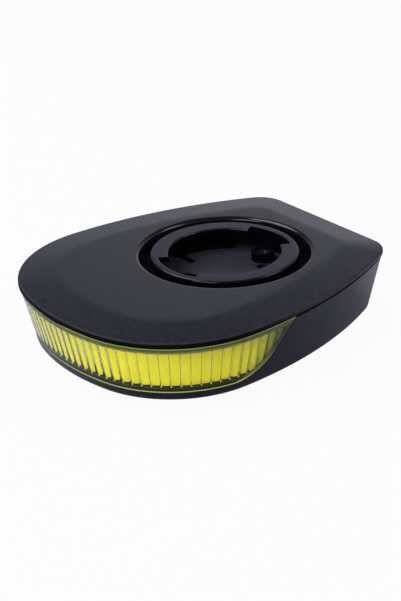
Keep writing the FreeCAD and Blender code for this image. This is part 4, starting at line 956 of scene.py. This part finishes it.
# %% Phosphor
TURNING_POINT_Y, TO_STRIP, CHIP_PITCH = -18.7, 28.0, 1.5
STRIP_LOW, STRIP_HIGH, STRIP_END = 5.95, 13.85, -7
phosphor = Finish(
    "phosphor", IOR=1.41, Subsurface_Weight=0.15, Subsurface_Radius=(1.0, 0.7, 0.1), Subsurface_Scale=0.0006,
)
x, y, z = phosphor.axes()
angle = x.apply("ARCTAN2", TURNING_POINT_Y - y)
waves = (angle * (TO_STRIP * 2 * math.pi / CHIP_PITCH)).apply("COSINE")
chips = waves.step(0.2, 0.9) * (1.0 - abs(z - (STRIP_LOW + STRIP_HIGH) / 2).step(0.6, 1.3))
powder = phosphor.noise(0.12, detail=4.0, rough=0.7)
stain = phosphor.noise(2.5, detail=3.0)
paste = phosphor.mix(powder.step(0.3, 0.7), paint("#e8d90e"), paint("#f5ee2a"))
paste = phosphor.mix(stain * 0.25, paste, paint("#ead200"))
phosphor.vary(
    Base_Color=phosphor.mix(chips * 0.35, paste, paint("#f8f57a")),
    Roughness=0.42 + 0.12 * powder,
    Normal=phosphor.bump(powder, 0.01),
)

# %% Strip
strip = bmesh.new()
skin(strip, [
    outline_chain(strip, STRIP_LOW + 0.1, 5.0), outline_chain(strip, STRIP_HIGH - 0.1, 5.0),
    outline_chain(strip, STRIP_HIGH, 5.1), outline_chain(strip, STRIP_HIGH, 5.6),
    outline_chain(strip, STRIP_LOW, 5.6), outline_chain(strip, STRIP_LOW, 5.1),
], closed=True)
everything = strip.verts[:] + strip.edges[:] + strip.faces[:]
place = (0, STRIP_END, 0)
bmesh.ops.bisect_plane(strip, geom=everything, plane_co=place, plane_no=BACKWARDS, clear_outer=True)
cut_edges = [
    edge for edge in strip.edges
    if len(edge.link_faces) == 1 and all(abs(vert.co.y - STRIP_END) < 0.01 for vert in edge.verts)
]
bmesh.ops.holes_fill(strip, edges=cut_edges, sides=0)
add_left_half(strip)
phosphor_strip = piece_from(strip, "phosphor_band", "light", phosphor)
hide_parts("phosphor_strip")

# %% [markdown]
# ## Flexible board and metal carrier
# The solder resist is a black glossy lacquer with a faint orange skin. It shows only as the dark edge
# above and below the strip. The carrier is bare rolled sheet: rolling leaves long scratches along it, so
# its noise is stretched.

# %% Flexible board and carrier sheet
flex_laminate = Finish("flex_laminate", IOR=1.5, Coat_Weight=0.3, Coat_Roughness=0.12)
lacquer = flex_laminate.noise(0.6, detail=2.0)
flex_laminate.vary(
    Base_Color=flex_laminate.mix(lacquer, paint("#0b0b0c"), paint("#18181a")),
    Roughness=0.3 + 0.12 * lacquer,
    Normal=flex_laminate.bump(lacquer, 0.01),
)

carrier_metal = Finish("carrier_metal", Metallic=1.0)
x, y, z = carrier_metal.axes()
along = carrier_metal.vector(x * 0.0002, y * 0.0002, z * 0.004)
rolled = carrier_metal.noise(0.6, detail=5.0, rough=0.6, place=along)
carrier_metal.vary(
    Base_Color=carrier_metal.mix(rolled, paint("#a9abaf"), paint("#c4c6ca")),
    Roughness=0.3 + 0.18 * rolled,
    Normal=carrier_metal.bump(rolled, 0.006),
)
smooth_copy("led_board", flex_laminate)
smooth_copy("led_carrier", carrier_metal)

# %% [markdown]
# ## Lens
# The lens is clear moulded polycarbonate. Upright rounded flutes on its inner side spread the light, and
# the strip behind them breaks into bars. The flutes follow the outline, so a wave texture on a flat wall
# wouldn't do: the chain of the inner wall is drawn four times finer, and each of its vertices is pushed
# inwards by a small arch that repeats every 2.11 mm of its run. The flanges above and below stay smooth.
# Each vertex keeps its run, and whether it is fluted, as attributes that the finish reads.

# %% Lens shape
PITCH, BULGE, LENS_WALL, LENS_GAP, FINE = 2.11, 0.2, 1.3, 0.25, 4
glass = bmesh.new()
run_layer = glass.verts.layers.float.new("run")
fluted_layer = glass.verts.layers.float.new("fluted")


def lens_chain(shape, level, inset, corner=None):
    """A fine chain of the lens."""
    return outline_chain(shape, level, inset, corner=corner, fine=FINE)


def in_order(edges):
    """The vertices of an open chain, from its end at the nose."""
    ways = {}
    for edge in edges:
        for vert in edge.verts:
            ways.setdefault(vert, []).append(edge)
    ends = [vert for vert, met in ways.items() if len(met) == 1]
    path = [min(ends, key=lambda vert: vert.co.y)]
    used = set()
    while len(path) <= len(edges):
        edge = next(edge for edge in ways[path[-1]] if edge not in used)
        used.add(edge)
        path.append(edge.other_vert(path[-1]))
    return path


runs = []


def lens_wall(shape, level, inwards, bulge=0.0):
    """A fine chain on the leaning wall of the lens, pushed inwards in arches if it has a bulge."""
    edges = lens_chain(shape, level, lean(level, SIDE_LEAN, 0.05 + inwards), CORNER_RADIUS)
    path = in_order(edges)
    places = [vert.co.copy() for vert in path]
    if not runs:
        runs.append(0.0)
        for before, after in zip(places, places[1:]):
            runs.append(runs[-1] + (after - before).length)
    for i, vert in enumerate(path):
        before, after = places[max(i - 1, 0)], places[min(i + 1, len(places) - 1)]
        run = runs[i]
        share = (run / PITCH) % 1.0
        along = (after - before).normalized()
        vert.co += Vector((-along.y, along.x, 0)) * bulge * (1 - (2 * share - 1) ** 2)
        vert[run_layer] = run
        vert[fluted_layer] = bulge / BULGE
    return edges


skin(glass, [
    lens_wall(glass, 5.05, 0.0), lens_wall(glass, 10.0, 0.0), lens_wall(glass, 16.22, 0.0),
    lens_chain(glass, 16.3, 0.42), lens_chain(glass, 16.3, 1.4), lens_chain(glass, SEAM, 1.4),
    lens_chain(glass, SEAM, 3.2), lens_chain(glass, 15.4, 3.2),
    lens_wall(glass, 15.4, LENS_WALL), lens_wall(glass, 15.1, LENS_WALL, BULGE * 0.9),
    lens_wall(glass, 14.7, LENS_WALL, BULGE), lens_wall(glass, 6.5, LENS_WALL, BULGE),
    lens_wall(glass, 6.0, LENS_WALL, BULGE * 0.9), lens_wall(glass, 5.75, LENS_WALL),
    lens_chain(glass, 5.75, 5.5), lens_chain(glass, 5.05, 5.5),
], closed=True)
add_left_half(glass)
merge(glass)
mould = bmesh.new()
lens_profile(mould, LENS_GAP)
glass = combined(glass, mould, "INTERSECT")
run_layer = glass.verts.layers.float["run"]
longest = max(vert[run_layer] for vert in glass.verts)
print("faces of the lens:", len(glass.faces), "longest run of flutes in mm:", round(longest, 1))

# %% [markdown]
# ## Finish of the lens
# Light can't be traced back through real glass, so shadow rays take a short way and pass straight
# through; without that the strip would lie in the dark. The upper flange is rough and painted with an
# olive band under the cover, painted shade for the dark parts seen through it, and a pale green painted
# highlight on its top edge. The foot of the wall and the slanted end are painted dark as shade, because
# nothing bright stands behind them, with a pale green painted highlight on their outer edge. How far a
# point is from that end comes from the slanted line and round corner that the window was cut with.

# %% Lens plastic
lens_plastic = Finish("lens_plastic", Transmission_Weight=1.0, IOR=1.49)
x, y, z = lens_plastic.axes()
haze = lens_plastic.noise(5.0, detail=3.0)
scratches = lens_plastic.noise(0.35, detail=5.0, rough=0.75).step(0.6, 0.74)
lens_plastic.vary(
    Base_Color=lens_plastic.mix(haze * 0.3, paint("#eff0a0"), paint("#e6eca4")),
    Roughness=0.015 + 0.02 * haze + 0.05 * scratches,
)
# The upper flange band, painted olive as shade for the dark parts behind it.
flange_band = z.step(14.9, 15.2)
run = lens_plastic.node("ShaderNodeAttribute", {"attribute_name": "run"}, output="Fac")
share = (run / PITCH).apply("FRACT")
fluted = lens_plastic.node("ShaderNodeAttribute", {"attribute_name": "fluted"}, output="Fac").step(0.5, 0.9)
low_end = 1.0 - z.step(6.2, 8.4)
foot = 1.0 - z.step(6.0, 6.15)
SIN, COS = math.sin(SLANT), math.cos(SLANT)
ROUND_Z = SILL + LENS_CORNER
ROUND_Y = LENS_START + (ROUND_Z - SEAM) * COS / SIN - LENS_CORNER / SIN
behind, above = y - ROUND_Y, z - ROUND_Z
slanted = LENS_CORNER - (SIN * behind - COS * above)
rounded = LENS_CORNER - distance(behind, above)
in_corner = 1.0 - (COS * behind + SIN * above).step(-0.01, 0.01)
from_end = slanted + (rounded - slanted) * in_corner
# The band beside the slanted end is painted dark as shade. A pale green painted highlight runs along the
# foot's lower edge, stronger to the right, and along the end, fainter higher up.
end_line = (1.0 - from_end.step(0.85, 0.95)) * behind.step(0.0, 1.0) * (1.0 - flange_band)
low_lip_highlight = foot * (1.0 - z.step(5.3, 5.36)) * (0.2 + 0.8 * x.step(-20.0, 2.0))
end_lip_highlight = end_line * (1.0 - from_end.step(0.5, 0.58)) * (1.0 - 0.85 * z.step(7.0, 11.5))
lip = low_lip_highlight.apply("MAXIMUM", end_lip_highlight)

# %% Lens plastic: painted shade and highlights along the flutes, and the painted bands
# Painted highlights: pale dots at the flutes' lower ends and a pale line beside each joint. Painted shade: a
# dark line where two flutes meet, wider and darker towards the foot and to the right.
dot_highlights = (1.0 - share.step(0.1, 0.14)) * z.step(6.15, 6.25) * (1.0 - z.step(6.45, 6.6))
joint = abs(share - 0.5).step(0.44 - 0.03 * low_end, 0.475 - 0.02 * low_end)
shade = joint * (0.36 + 0.24 * x.step(-12.0, 12.0) + 0.3 * low_end)
shine = share.step(0.07, 0.09) * (1.0 - share.step(0.11, 0.14)) * 0.45
flute_shade_and_highlight = lens_plastic.mix((shine + dot_highlights).step(0.05, 0.2), paint("#5e5c16"), paint("#f3f3b4"))
# The flange band: olive as painted shade, with a pale green painted highlight on its top edge.
flange_shade_and_highlight = lens_plastic.mix(z.step(16.1, 16.2), paint("#4d5626"), paint("#b3c15e"))
facing = lens_plastic.node("ShaderNodeNewGeometry", output="Normal")
sideways, _, upwards = lens_plastic.split(facing)
# The foot, the slanted end face and the band beside the end are painted near black as shade, with the pale
# green painted highlight along their edges.
end_face = (1.0 - abs(sideways).step(0.02, 0.08)) * abs(upwards).step(0.33, 0.42)
painted_dark = foot.apply("MAXIMUM", end_face).apply("MAXIMUM", end_line)
painted_shade_and_lip = lens_plastic.mix(lip * (1.0 - end_face), paint("#060603"), paint("#c3d069"))
# A rough shader carries the painted shade and highlights; the painted share mixes it in.
painted_layer = lens_plastic.node("ShaderNodeBsdfPrincipled", inputs={
    "Base Color": lens_plastic.mix(painted_dark, lens_plastic.mix(flange_band, flute_shade_and_highlight, flange_shade_and_highlight), painted_shade_and_lip),
    "Roughness": 0.25 + 0.1 * haze, "IOR": 1.49, "Specular IOR Level": 0.25,
})
lines = (shade + shine + dot_highlights * 0.8) * fluted * (1.0 - flange_band)
painted_share = (flange_band * 0.7 + painted_dark * (0.95 - 0.2 * lip)).apply("MAXIMUM", lines)
body = lens_plastic.mixed(painted_share, lens_plastic.surface, painted_layer)
clear = lens_plastic.node("ShaderNodeBsdfTransparent", inputs={"Color": (0.9, 0.92, 0.78, 1.0)})
lens_plastic.show(lens_plastic.mixed(lens_plastic.ray_is("Is Shadow Ray"), body, clear))
lens = piece_from(glass, "lens_fluted", "light", lens_plastic, angle=40)
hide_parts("lens")

# %% [markdown]
# ## Rubber parts
# Seals, flap and button are soft. Silicone rubber is never as glossy as hard plastic: it has a fine
# powdery skin and picks up lint, which shows as scattered paler specks. The flap and the button are
# blasted in the mould, so their skin is coarser, and fingers polish it where they touch it.

# %% Rubbers
def rubber(name, dark, pale, grain_size, gloss, polished=0.0):
    """A soft black finish with a powdery skin and lint."""
    finish = Finish(name, IOR=1.43, Specular_IOR_Level=0.3)
    skin_grain = finish.noise(grain_size, detail=4.0, rough=0.7)
    cloud = finish.noise(4.0, detail=3.0)
    lint = finish.noise(0.3, detail=2.0).step(0.7, 0.76)
    tone = finish.mix(cloud, paint(dark), paint(pale))
    return finish.vary(
        Base_Color=finish.mix(lint * 0.35, tone, paint("#4a4a4e")),
        Roughness=gloss + 0.12 * skin_grain - polished * cloud.step(0.5, 0.7),
        Normal=finish.bump(skin_grain, 0.02),
    )


seal_rubber = rubber("seal_rubber", "#0d0d0e", "#161618", 0.3, 0.5)
flap_rubber = rubber("flap_rubber", "#101014", "#191920", 0.18, 0.44, polished=0.1)
button_rubber = rubber("button_rubber", "#17171d", "#212129", 0.16, 0.42, polished=0.14)
for name in ("cover_seal", "socket_seal", "lens_gasket"):
    smooth_copy(name, seal_rubber)

# %% [markdown]
# ## Flap
# The flap lies flush in the back wall and hinges on its lower edge. Its outer face follows the lean of the
# wall, so it is a block whose outer top edge is pushed in. A nail catch is moulded along its upper edge:
# a shallow scoop, cut with a lying pin. Behind it sits the plug that closes the port.

# %% Port flap and its anchor
flap = bmesh.new()
corners = block(flap, (1.3, 14.7), (28.746, 30.0), (8.73, 15.13))
for corner in corners:
    if corner.co.y > 29.5:
        corner.co.y = TAIL_LENGTH - lean(corner.co.z, TAIL_LEAN)
plug = bmesh.new()
block(plug, (PORT_X - 2.5, PORT_X + 2.5), (28.146, 28.9), (PORT_Z - 1, PORT_Z + 1))
for side in (-1, 1):
    lying_pin(plug, PORT_X + side * 2.5, PORT_Z, 1.0, 28.146, 28.9, 24)
flap = combined(flap, plug, "UNION")
catch = bmesh.new()
made = pin(catch, 0, 0, 1.6, -2.2, 2.2, 32)
turn_over(catch, made, 90, "Y")
bmesh.ops.translate(catch, vec=(PORT_X, 30.9, 15.0), verts=made)
flap = combined(flap, catch)
port_flap = piece_from(flap, "port_flap_soft", "port_flap", flap_rubber, soft=0.14)
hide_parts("port_flap")
smooth_copy("flap_anchor", flap_rubber, soft=0.12)

# %% [markdown]
# ## Button
# The button is a rubber cap with half-round ends, a flange that keeps it in the wall, and a stem for the
# switch. Its face is slightly dished so that a finger finds it: a grid can't do that on a rounded bar, so
# the face is inset a few times and each smaller face is pushed in a little more.

# %% Power button
BUTTON_FACE = 30.45


def bar(shape, middle, width, height, near, far, steps=16):
    """A bar with half-round ends that points to the back, as one closed shell in an empty shape."""
    reach, radius = (width - height) / 2, height / 2
    tip = shape.verts.new((middle + reach, near, PORT_Z - radius))
    tip = swing(shape, tip, (middle + reach, near, PORT_Z), -math.pi, steps, BACKWARDS)
    tip = straight(shape, tip, (middle - reach, near, PORT_Z + radius), 4)
    tip = swing(shape, tip, (middle - reach, near, PORT_Z), -math.pi, steps, BACKWARDS)
    straight(shape, tip, (middle + reach, near, PORT_Z - radius), 4)
    merge(shape)
    return thicken(shape, (0, far - near, 0))


cap = bmesh.new()
outer_face = bar(cap, BUTTON_X, 11.0, 5.2, 27.9, BUTTON_FACE)
bmesh.ops.recalc_face_normals(cap, faces=cap.faces)
for step, depth in ((0.3, 0.0), (0.4, -0.06), (0.6, -0.07), (0.6, -0.05)):
    bmesh.ops.inset_region(cap, faces=outer_face, thickness=step, depth=depth, use_even_offset=True)
flange = bmesh.new()
bar(flange, BUTTON_X, 12.4, 6.6, 27.16, 27.96)
block(flange, (-9.5, -7.5), (26.17, 27.4), (PORT_Z - 1, PORT_Z + 1))
button = combined(cap, flange, "UNION")
power_button = piece_from(button, "power_button_cap", "power_button", button_rubber, soft=0.16)
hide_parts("power_button")

# %% [markdown]
# ## Light pipe and charging port
# A clear rod takes the light of a small lamp on the board to the back wall; its end is flush there. The
# port is a folded nickel-plated sleeve with a plastic tongue. Drawing the sleeve leaves fine lines along
# it, so its noise is stretched along Y.

# %% Clear rod, port sleeve and tongue
pipe_plastic = Finish("pipe_plastic", Transmission_Weight=1.0, IOR=1.49)
bubbles = pipe_plastic.noise(0.5, detail=3.0)
pipe_plastic.vary(
    Base_Color=pipe_plastic.mix(bubbles, paint("#e3ecf0"), paint("#f4f8fa")),
    Roughness=0.08 + 0.15 * bubbles,
)
smooth_copy("light_pipe", pipe_plastic)

port_metal = Finish("port_metal", Metallic=1.0)
x, y, z = port_metal.axes()
along = port_metal.vector(x * 0.004, y * 0.0002, z * 0.004)
drawn = port_metal.noise(0.4, detail=4.0, place=along)
port_metal.vary(
    Base_Color=port_metal.mix(drawn, paint("#a5a7a8"), paint("#c3c5c6")),
    Roughness=0.22 + 0.16 * drawn,
    Normal=port_metal.bump(drawn, 0.004),
)
smooth_copy("usb_shell", port_metal)

# %% [markdown]
# ## Foot
# The foot turns into the mount on the handlebar. It is moulded in a plain tough plastic whose sliding
# faces are polished by use, so its finish is satin with rings of wear about the axis, where the ears slide.

# %% Inner plastic
inner_plastic = Finish("inner_plastic", IOR=1.5, Specular_IOR_Level=0.35)
x, y, z = inner_plastic.axes()
radius = distance(x, y)
sliding = (radius * 38.0 + inner_plastic.noise(3.0) * 6.0).apply("SINE")
rings = sliding.step(0.4, 1.0) * (1.0 - z.step(1.5, 1.7)) * radius.step(8.4, 8.7)
flow = inner_plastic.noise(6.0, detail=4.0, rough=0.6)
grain = inner_plastic.noise(0.15, detail=3.0)
streaks = inner_plastic.mix(flow, paint("#121214"), paint("#1d1d20"))
inner_plastic.vary(
    Base_Color=inner_plastic.mix(rings * 0.3, streaks, paint("#3d3d41")),
    Roughness=0.34 + 0.12 * flow - 0.12 * rings,
    Normal=inner_plastic.bump(grain, 0.008),
)

# %% [markdown]
# The foot itself is a turned section: flange, stud and the hollow below. The two ears are slices of a ring
# joined to it, and the four screw seats are cones cut out of it.

# %% Foot plate
FOOT_HOLLOW, STUD, FOOT_FLANGE = 8.5, 12.4, 18.5
foot_points = [
    (0.0, 0.8), (FOOT_HOLLOW, 0.8), (FOOT_HOLLOW, 0.0, 0.25), (STUD, 0.0, 0.3), (STUD, SOLE),
    (FOOT_FLANGE, SOLE, 0.3), (FOOT_FLANGE, 4.6), (0.0, 4.6),
]
turned_foot = turn_section(foot_points, 0, 360, 96)
foot = bmesh.new()
foot.from_mesh(turned_foot)
bpy.data.meshes.remove(turned_foot)
merge(foot)
ears = bmesh.new()
for middle in (0, 180):
    slice_of_ring(ears, 11.5, 15.1, 0.0, 1.6, middle, 52)
foot = combined(foot, ears, "UNION")
seats = bmesh.new()
for x, y in FOOT_SCREWS:
    pin(seats, x, y, 1.97, 3.0, 3.95, 40, top=0.95)
    pin(seats, x, y, 1.1, 3.5, 5.0)
foot = combined(foot, seats)
foot_plate = piece_from(foot, "foot_plate_turned", "light", inner_plastic, soft=0.12)
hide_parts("foot_plate")

# %% [markdown]
# ## Screws
# The heads were upset from wire and then plated. Both finishes are metals with fine arcs left by the tool.

# %% Screw finishes
def plated(name, dark, pale, gloss):
    """A plated steel with turning marks."""
    finish = Finish(name, Metallic=1.0)
    marks = finish.noise(0.12, detail=4.0, rough=0.6)
    stain = finish.noise(0.8, detail=3.0)
    return finish.vary(
        Base_Color=finish.mix(marks * 0.6 + stain * 0.4, paint(dark), paint(pale)),
        Roughness=gloss + 0.15 * marks,
        Normal=finish.bump(marks, 0.006),
    )


screw_steel = plated("screw_steel", "#8f9194", "#b9bbbe", 0.28)
black_screw = plated("black_screw", "#141416", "#2b2b2e", 0.34)
for name in ("socket_screws", "cover_screws", "foot_screws"):
    smooth_copy(name, black_screw)
for name in ("board_screws", "carrier_screws"):
    smooth_copy(name, screw_steel)

# %% [markdown]
# ## Inside
# Nothing inside shows in the picture, but a part that is opened has to look right. These nodes keep their
# CAD shape, which is plain on the real parts too, and only get a finish. Each finish says what the part
# is made of: lacquered board with traces, moulded resin, fired ceramic, wound ferrite, nylon, vinyl, film.

# %% Dress CAD nodes
def dress(finish, *names):
    """Gives CAD nodes a finish. Their shape stays as it is."""
    for name in names:
        node_materials = nodes[name].data.materials
        node_materials.clear()
        node_materials.append(finish.material)
    print(finish.name, "on", ", ".join(names))


dress(inner_plastic, "usb_tongue", "switch_body", "switch_plunger")

# %% Circuit board: green lacquer over copper traces, with tinned rings
board_laminate = Finish("board_laminate", IOR=1.5, Coat_Weight=0.4, Coat_Roughness=0.1)
x, y, z = board_laminate.axes()
in_plan = board_laminate.vector(x * MM, y * MM, 0.0)
blocks = board_laminate.cells(6.0, place=in_plan)
turned_way = board_laminate.noise(9.0, detail=0.0).step(0.49, 0.51)
across, along = (x * 9.0).apply("SINE"), (y * 9.0).apply("SINE")
lines = (across * turned_way + along * (1.0 - turned_way)).step(0.1, 0.3)
traces = lines * blocks.step(0.25, 0.3)
rings = 1.0 - board_laminate.cells(2.4, place=in_plan).step(0.1, 0.13)
lacquer = board_laminate.noise(0.5, detail=2.0)
green = board_laminate.mix(traces, paint("#0c2b1c"), paint("#17492f"))
board_laminate.vary(
    Base_Color=board_laminate.mix(rings, green, paint("#b9bcbd")),
    Roughness=0.3 + 0.1 * lacquer,
    Metallic=rings * 0.9,
    Normal=board_laminate.bump(traces + rings, 0.03),
)
dress(board_laminate, "main_board")

# %% Moulded resin and ceramic
chip_resin = Finish("chip_resin", IOR=1.55, Specular_IOR_Level=0.35)
x, y, z = chip_resin.axes()
filler = chip_resin.noise(0.06, detail=4.0, rough=0.7)
fade = chip_resin.noise(2.0, detail=2.0)
leads = 1.0 - z.step(10.4, 10.45)
resin = chip_resin.mix(filler, paint("#131315"), paint("#212124"))
chip_resin.vary(
    Base_Color=chip_resin.mix(leads, resin, paint("#b4b6b8")),
    Metallic=leads,
    Roughness=0.45 + 0.2 * fade - 0.15 * leads,
    Normal=chip_resin.bump(filler, 0.012),
)
dress(chip_resin, "driver_chip", "controller_chip", "charge_chip")

small_part_ceramic = Finish("small_part_ceramic", IOR=1.6)
crystals = small_part_ceramic.noise(0.1, detail=4.0, rough=0.7)
batch = small_part_ceramic.noise(3.0, detail=1.0)
tan_part = small_part_ceramic.mix(crystals, paint("#776447"), paint("#94805f"))
brown_part = small_part_ceramic.mix(crystals, paint("#4a4038"), paint("#5d5148"))
small_part_ceramic.vary(
    Base_Color=small_part_ceramic.mix(batch.step(0.45, 0.55), tan_part, brown_part),
    Roughness=0.38 + 0.2 * crystals,
    Normal=small_part_ceramic.bump(crystals, 0.01),
)
dress(small_part_ceramic, "board_passives")

# %% Ferrite, nylon and vinyl
coil_ferrite = Finish("coil_ferrite", IOR=1.7)
sinter = coil_ferrite.cells(0.12)
coil_ferrite.vary(
    Base_Color=coil_ferrite.mix(sinter, paint("#2c2c2f"), paint("#454549")),
    Roughness=0.5 + 0.25 * sinter,
    Normal=coil_ferrite.bump(sinter, 0.015),
)
dress(coil_ferrite, "inductor")

connector_nylon = Finish("connector_nylon", IOR=1.53, Subsurface_Weight=0.2, Subsurface_Scale=0.0004)
milk = connector_nylon.noise(1.5, detail=3.0)
connector_nylon.vary(
    Base_Color=connector_nylon.mix(milk, paint("#ddd6c4"), paint("#eee8da")),
    Roughness=0.36 + 0.16 * milk,
    Normal=connector_nylon.bump(connector_nylon.noise(0.2, detail=3.0), 0.008),
)
dress(connector_nylon, "battery_connector", "led_connector")

lead_vinyl = Finish("lead_vinyl", IOR=1.5)
x, y, z = lead_vinyl.axes()
second = x.step(5.75, 5.85) * (1.0 - x.step(20.0, 20.1))
sweat = lead_vinyl.noise(0.4, detail=3.0)
red = lead_vinyl.mix(sweat, paint("#a31a18"), paint("#c12723"))
lead_vinyl.vary(
    Base_Color=lead_vinyl.mix(second, red, paint("#1a1a1c")),
    Roughness=0.32 + 0.16 * sweat,
    Normal=lead_vinyl.bump(sweat, 0.01),
)
dress(lead_vinyl, "battery_leads", "led_leads")

# %% Battery film and lamp resin
cell_film = Finish("cell_film", Metallic=0.85)
creases = cell_film.noise(2.8, detail=5.0, rough=0.6)
fine_skin = cell_film.noise(0.15, detail=2.0)
cell_film.vary(
    Base_Color=cell_film.mix(creases, paint("#8d959c"), paint("#aab1b8")),
    Roughness=0.3 + 0.2 * fine_skin,
    Normal=cell_film.bump(creases + 0.1 * fine_skin, 0.12),
)
dress(cell_film, "battery_cell")

lamp_resin = Finish("lamp_resin", IOR=1.5, Transmission_Weight=0.4, Coat_Weight=0.3)
cloudy = lamp_resin.noise(0.4, detail=3.0)
lamp_resin.vary(
    Base_Color=lamp_resin.mix(cloudy, paint("#cfd9cf"), paint("#eaf2e6")),
    Roughness=0.16 + 0.14 * cloudy,
)
dress(lamp_resin, "status_led")

# %% [markdown]
# ## Foam pads
# Two strips of foam hold the battery: one below it and one between it and the cover. Foam that is pressed
# between two faces is flat on both and bulges at its sides, with soft corners. So each starts as a block
# with many cuts, and every vertex is drawn in towards the middle the nearer it is to a pressed face.

# %% Battery foam
pad_foam = Finish("pad_foam", Sheen_Weight=0.3, Sheen_Roughness=0.5)
pores = pad_foam.cells(0.45)
small_pores = pad_foam.cells(0.2)
pad_foam.vary(
    Base_Color=pad_foam.mix(pores.step(0.1, 0.6), paint("#17181a"), paint("#2f3134")),
    Roughness=0.8 + 0.15 * small_pores,
    Normal=pad_foam.bump(pores + 0.4 * small_pores, 0.12),
)


def foam_strip(node, draw_in=0.4):
    """A foam strip in the place of its CAD block, with bulging sides and round corners."""
    low, high = (Vector(corner) * 1000 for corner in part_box(node))
    middle, half = (low + high) / 2, (high - low) / 2
    shape = bmesh.new()
    block(shape, *zip(low, high))
    bmesh.ops.subdivide_edges(shape, edges=shape.edges[:], cuts=11, use_grid_fill=True)
    for vert in shape.verts:
        x, y, z = (getattr(vert.co - middle, axis) / getattr(half, axis) for axis in "xyz")
        pressed = abs(z) ** 3
        corner = abs(x * y) ** 8
        vert.co.x -= math.copysign(draw_in * abs(x) ** 6 * (pressed + 1.2 * corner), x)
        vert.co.y -= math.copysign(draw_in * abs(y) ** 4 * (pressed + 1.2 * corner), y)
    piece = piece_from(shape, f"{node}_foam", "light", pad_foam, angle=60)
    smooth = piece.modifiers.new("smooth foam", "SUBSURF")
    smooth.levels = smooth.render_levels = 1
    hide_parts(node)


foam_strip("battery_pad")
foam_strip("battery_hold_down")
